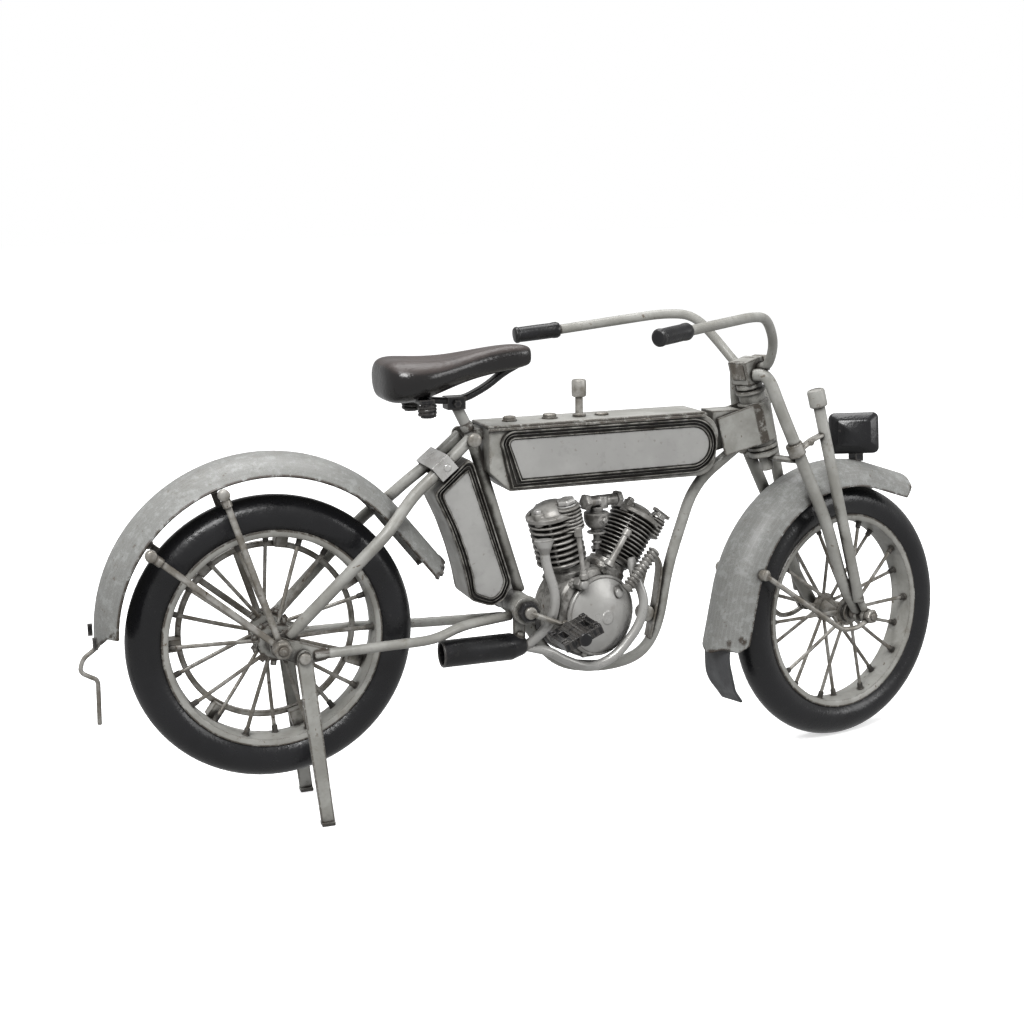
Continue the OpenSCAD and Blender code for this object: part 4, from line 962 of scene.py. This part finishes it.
s = Shape()
s.tube([(WHEELBASE, -19.2, FRONT_Z), (WHEELBASE, 19.2, FRONT_Z)], 1.3, STEERED, soft=0.35)
for m in mirrored(STEERED):
    s.stud(WHEELBASE, FRONT_Z, -8.4, -11, 2, m)
    s.stud(WHEELBASE, FRONT_Z, -16.9, -18.6, 2.6, m, sides=6, edge=0.4)
piece("front_axle_set", s, STEEL, ["front_axle"], body="steering", bevel=0.1)

s = Shape()
flap = curve([(149.6, 0, 43), (149, 0, 35), (150.6, 0, 27), (155.4, 0, 20.6)], 5)
s.sweep(flap, lambda t: flat(13.4 - 2.6 * max(0, t - 0.72) / 0.28 - 0.5 * math.sin(t * 9), 1, 0.3), STEERED,
        side=(0, 1, 0))
piece("tail_flap", s, RUBBER, ["mud_flap"], body="steering", bevel=0.2)

s = Shape()
for m in mirrored(STEERED):
    s.stud(WHEELBASE, FRONT_Z, -16.1, -16.8, 2.2, m)
    s.tube(curve([(203, -16.5, 43.4), (198, -16.4, 41.6), (192, -15.8, 41.8), (161.4, -11.9, 64.4)], 2.2, 5), 0.9,
           m, 14)
    s.stud(161.2, 64.6, -10.2, -12.8, 1.9, m, dome=0.6)
piece("front_fender_wires", s, STEEL, ["front_fender_stays"], body="steering", bevel=0.1)

s = Shape()
for m in mirrored(STEERED):
    skin, out = Vector((152.8, -7.9, 42.6)), Vector((-0.639, -0.768, -0.044))
    s.spin(skin - out * 0.5, skin + out, [(1.7, 0), (1.7, 0.9), (1.3, 1.2), (0.6, 1.35)], m)
piece("fender_rivets", s, STEEL, body="steering", bevel=0.1)


def box_ring(x, half_y, half_z, r, n=6):
    ring = []
    for cy, cz, start in ((half_y - r, half_z - r, 0), (-half_y + r, half_z - r, 90),
                          (-half_y + r, -half_z + r, 180), (half_y - r, -half_z + r, 270)):
        for k in range(n + 1):
            ring.append((x, *spoke(r, rad(start + 90 * k / n), cy, cz)))
    return ring


s = Shape()
lamp = STEERED @ shift(213.6, 0, 107.2) @ turned(50, "Z") @ turned(9, "Y")
s.loft([box_ring(-4, 5.4, 4.2, 1.2), box_ring(-3.7, 5.9, 4.7, 1.4), box_ring(-2.4, 7.6, 6.2, 1.7),
        box_ring(-1.7, 8.4, 7.0, 1.9), box_ring(-1.2, 8.6, 7.2, 2.0),
        box_ring(1.6, 8.6, 7.2, 2.0), box_ring(2.2, 8.3, 6.9, 1.9), box_ring(2.4, 7.8, 6.4, 1.7),
        box_ring(2.0, 7.4, 6.0, 1.5), box_ring(1.9, 6.8, 5.4, 1.3)], lamp)
s.block(212.8, 216.4, -1.9, 1.9, 97.2, 101.4, STEERED)
piece("lamp_body", s, GLOSS, ["lamp"], body="steering", bevel=0.12)

half_bar = [(113, 34.5, 149.1), (148.4, 23.2, 151.6), (158, 18.6, 150.6), (164.6, 14.4, 142.4), (167.4, 8.4, 134.6),
            (167, 4.4, 133.6)]
bar = [(x, -y, z) for x, y, z in half_bar] + [(x, y, z + 1.1 * (i in (1, 2))) for i,
                                              (x, y, z) in enumerate(half_bar)][::-1]
s = Shape()
s.tube(curve(bar, 7, 9), 1.6, STEERED)
piece("bar_tube", s, PAINT, ["handlebar"], body="steering", bevel=0)

s = Shape()
for x in (160.6, 170.2):
    s.block(x, x + 2.0, -3.2, 3.2, 131.2, 136.6, STEERED @ shift(167, 0, 133.6) @ turned(-14, "Y") @ shift(-167, 0, -133.6))
s.spin((167, -4.4, 133.6), (167, 4.4, 133.6), [(2.6, 0), (2.9, 0.4), (2.9, 8.4), (2.6, 8.8)], STEERED, 28)
piece("bar_clamp", s, STEEL, body="steering", bevel=0.3)

s = Shape()
for m in mirrored(STEERED):
    s.spin((97.6, -39.3, 147.9), (113, -34.5, 149.1), [(1.2, 0), (2.2, 0.15), (2.7, 0.7), (2.75, 1.4), (2.5, 1.9),
                                                       (2.55, 2.4), (2.6, 8), (2.55, 13),
                                                    (2.7, 13.8), (2.7, 15), (2.3, 15.9), (1.6, 16.1)], m, 36)
piece("grip_pair", s, SOOTY, ["grips"], body="steering", bevel=0.1)

# --- wheels ---

for name, m, flange_r, flange_y, seed in (("front", FRONT, 4.4, 5.6, 11), ("rear", REAR, 5.4, 6.6, 12)):
    body = name + "_wheel"
    s = Shape()
    profile = [spoke(6.2, rad(-142 + 284 * k / 48), 38.8) for k in range(49)] + [(33.4, 3.0), (33.4, -3.0)]
    s.turn(profile, m @ along_y, 128, closed=True)
    piece(name + "_tyre_tube", s, TYRE, [name + "_tyre"], body=body, bevel=0, angle=50)
    s = Shape()
    s.turn([(32.4, -4.6), (33.0, -5.0), (34.4, -5.0), (34.7, -4.7), (34.6, -4.3), (33.5, -4.0), (33.3, -3.2),
            (33.2, 3.2), (33.5, 4.0), (34.6, 4.3),
            (34.7, 4.7), (34.4, 5.0), (33.0, 5.0), (32.4, 4.6), (32.25, 2.0), (31.9, 0), (32.25, -2.0)],
           m @ along_y, 128, closed=True)
    piece(name + "_rim_band", s, PAINT, [name + "_rim"], body=body, bevel=0, angle=40)
    s, nipples = Shape(), Shape()
    random.seed(seed)
    for i in range(20):
        side = -1 if i % 2 == 0 else 1
        rim_a = 18 * i
        hub_a = rim_a + (8 if i % 4 < 2 else -8)
        (x0, z0), (x1, z1) = spoke(flange_r, rad(hub_a)), spoke(32.7, rad(rim_a))
        hub_end, rim_end = Vector((x0, side * flange_y, z0)), Vector((x1, side * 1.6, z1))
        sag = Vector([random.uniform(-0.22, 0.22) for _ in range(3)])
        route = [hub_end.lerp(rim_end, t) + sag * math.sin(math.pi * t) for t in (0, 0.2, 0.4, 0.6, 0.8, 1)]
        swell = random.uniform(-0.04, 0.05)
        s.tube(route, lambda t: 0.64 + swell * math.sin(3 * t), m, 10)
        back = (hub_end - rim_end).normalized()
        nipples.spin(rim_end, rim_end + back * 3, [(1.15, 0), (1.15, 0.7), (0.95, 0.9), (0.95, 2.7), (0.7, 3)], m,
                     12)
    piece(name + "_spoke_set", s, STEEL, [name + "_spokes"], body=body, bevel=0)
    piece(name + "_nipples", nipples, RUSTY, body=body, bevel=0.05)

s = Shape()
s.turn([(3.5, -8), (3.6, -7.4), (3.0, -6.6), (3.0, -6.1), (5, -6.1), (5, -5.1), (3.1, -5.0), (2.8, 0), (3.1, 5.0),
        (5, 5.1), (5, 6.1), (3.0, 6.1), (3.0, 6.6),
        (3.6, 7.4), (3.5, 8), (1.36, 8), (1.36, -8)], FRONT @ along_y, 44, closed=True)
piece("front_hub_body", s, STEEL, ["front_hub"], body="front_wheel", bevel=0.1)

s = Shape()
for side in (-1, 1):
    y = side * 6.6
    s.turn([(6.2, -0.5), (6.2, 0.5), (1.56, 0.5), (1.56, -0.5)], REAR @ shift(0, y, 0) @ along_y, 44, closed=True)
    for k in range(11):
        s.block(5.6, 7.6, -0.5, 0.5, -0.9, 0.9, REAR @ shift(0, y, 0) @ turned(k * 360 / 11, "Y"))
piece("rear_hub_discs", s, PAINT, ["rear_hub"], body="rear_wheel", bevel=0.1)
s = Shape()
for side in (-1, 1):
    profile = [(3.2, 7.1)] + [(3.2 if k % 2 else 2.85, 7.3 + 0.22 * k) for k in range(8)] + [(2.8, 9.0)]
    s.turn(profile, REAR @ (turned(90, "X") if side < 0 else turned(-90, "X")), 36)
profile = [(3.0, -6.2)] + [(3.0 if k % 2 else 2.7, -6.0 + 0.4 * k) for k in range(31)] + [(3.0, 6.2)]
s.turn(profile, REAR @ along_y, 36)
piece("rear_hub_barrel", s, RUSTY, body="rear_wheel", bevel=0, angle=60)

s = Shape()
s.turn([(26.9, -9.4), (27.1, -9.6), (28.5, -9.6), (28.7, -9.4), (28.7, -7.8), (28.5, -7.6), (27.1, -7.6),
        (26.9, -7.8)], REAR @ along_y, 120, closed=True)
for k in range(7):
    m = REAR @ turned(k * 360 / 7 - 28, "Y")
    s.block(27.4, 32.5, 4.2, 9.2, -2, 2, m)
    s.stud(29.9, 0, 9.1, 9.9, 1.0, m, dome=0.3)
piece("belt_pulley_ring", s, STEEL, ["belt_ring"], body="rear_wheel", bevel=0.2)

# --- stand, crank and pedal ---

for name, m, body in (("right", PLACED, "stand_right"), ("left", PLACED @ MIRROR, "stand_left")):
    s = Shape()
    eye = [p for p in hull_of_circles([(PIVOT_X, PIVOT_Z, 2.4)]) if p[1] >= PIVOT_Z]
    eye.sort(key=lambda p: -math.atan2(p[1] - PIVOT_Z, p[0] - PIVOT_X))
    s.slab(eye + [(9.3, 54.4), (14.1, 1.0), (9.9, 1.0), (4.35, 54.4)], -16.9, -15.3, m)
    s.block(9.9, 14.1, -17.6, -14.2, 0, 1.3, m)
    piece("stand_bar_" + name, s, PAINT, ["stand_leg_" + name], body=body, bevel=0.2)

s = Shape()
s.stud(BRACKET_X, BRACKET_Z, 14.6, -13.4, 2)
s.stud(BRACKET_X, BRACKET_Z, 13.3, 14.9, 3, dome=0.5)
s.tube([(BRACKET_X, -16.4, BRACKET_Z), (PEDAL_X, -16.4, PEDAL_Z)], 0.95, sides=16)
s.stud(BRACKET_X, BRACKET_Z, -15.6, -17.2, 2, dome=0.5)
s.stud(PEDAL_X, PEDAL_Z, -15.4, -33.4, 1.1)
s.stud(PEDAL_X, PEDAL_Z, -15.4, -17.4, 1.8, dome=0.5)
piece("crank_arm", s, STEEL, ["crank"], body="crank", bevel=0.1)
s = Shape()
s.stud(BRACKET_X, BRACKET_Z, -13.3, -15.8, 3.6, sides=6, edge=0.5)
s.stud(PEDAL_X, PEDAL_Z, -33.3, -34.4, 2.2, dome=0.5)
piece("crank_nuts", s, GLOSS, body="crank", bevel=0.15)

s = Shape()
pedal = PLACED @ shift(PEDAL_X, -25.3, PEDAL_Z) @ turned(-23, "Y")
for x0, x1, y0, y1 in ((-6.8, -4.8, -7.5, 7.5), (4.8, 6.8, -7.5, 7.5), (-3, 3, -7.5, 7.5), (-4.9, -2.9, -7.5, -3),
                       (-4.9, -2.9, 3, 7.5), (2.9, 4.9, -7.5, -3), (2.9, 4.9, 3, 7.5)):
    s.block(x0, x1, y0, y1, -1.5, 1.5, pedal)
for y in (-6.6, -4.4, 4.4, 6.6):
    for x in (-5.8, 5.8):
        s.block(x - 1, x + 1, y - 0.7, y + 0.7, 1.4, 1.9, pedal)
s.spin((PEDAL_X, -17.7, PEDAL_Z), (PEDAL_X, -33, PEDAL_Z), [(1.7, 0), (2, 0.3), (2, 15), (1.7, 15.3)], sides=28)
piece("pedal_pad", s, GLOSS, ["pedal"], body="pedal", bevel=0.2)

# --- floor, light and camera ---

world = bpy.data.worlds.new("studio")
world.use_nodes = True
sky = world.node_tree.nodes["Background"]
sky.inputs["Color"].default_value = (1, 1, 1, 1)
seen = world.node_tree.nodes.new("ShaderNodeLightPath")
level = world.node_tree.nodes.new("ShaderNodeMapRange")
level.inputs["To Min"].default_value = 0.5
level.inputs["To Max"].default_value = 1.0
world.node_tree.links.new(seen.outputs["Is Camera Ray"], level.inputs["Value"])
world.node_tree.links.new(level.outputs["Result"], sky.inputs["Strength"])
bpy.context.scene.world = world

mesh = bpy.data.meshes.new("floor")
mesh.from_pydata([(-6, -6, 0), (6, -6, 0), (6, 6, 0), (-6, 6, 0)], [], [(0, 1, 2, 3)])
floor = bpy.data.objects.new("floor", mesh)
bpy.context.scene.collection.objects.link(floor)
net = Net("pale_floor")
net.put("Base Color", net.mix(net.band(net.noise(6, 3), 0.3, 0.7), (0.9, 0.9, 0.9), (0.93, 0.93, 0.93)))
net.put("Roughness", 0.9)
net.put("Specular IOR Level", 0.1)
net.put("Emission Color", (1, 1, 1, 1))
net.put("Emission Strength", 0.56)
mesh.materials.append(net.material)
floor.visible_diffuse = False
floor.visible_glossy = False


def lamp_at(name, place, target, size, power):
    light = bpy.data.lights.new(name, "AREA")
    light.shape = "RECTANGLE"
    light.size, light.size_y = size
    light.energy = power
    made = bpy.data.objects.new(name, light)
    bpy.context.scene.collection.objects.link(made)
    made.location = place
    made.rotation_euler = (Vector(target) - Vector(place)).to_track_quat("-Z", "Y").to_euler()


middle = Vector((0, 0, 0.07))
lamp_at("key", middle + Vector((-0.35, -0.55, 0.75)), middle, (0.5, 0.4), 9.0)
lamp_at("fill", middle + Vector((0.75, -0.5, 0.35)), middle, (0.4, 0.4), 2.0)
lamp_at("top", middle + Vector((0.0, 0.25, 0.9)), middle, (0.9, 0.5), 7.0)

camera = bpy.data.cameras.new("camera")
camera.lens, camera.sensor_width = 56.65, 36
camera.clip_start = 0.01
viewer = bpy.data.objects.new("camera", camera)
bpy.context.scene.collection.objects.link(viewer)
viewer.matrix_world = Matrix.Translation(AXLE + Vector((-0.08829, -0.48426, 0.1365))) @ turned(-19.2, "Z") @ turned(90 - 11.44, "X") @ turned(-1.03, "Z")
bpy.context.scene.camera = viewer
bpy.context.scene.view_settings.view_transform = "Standard"
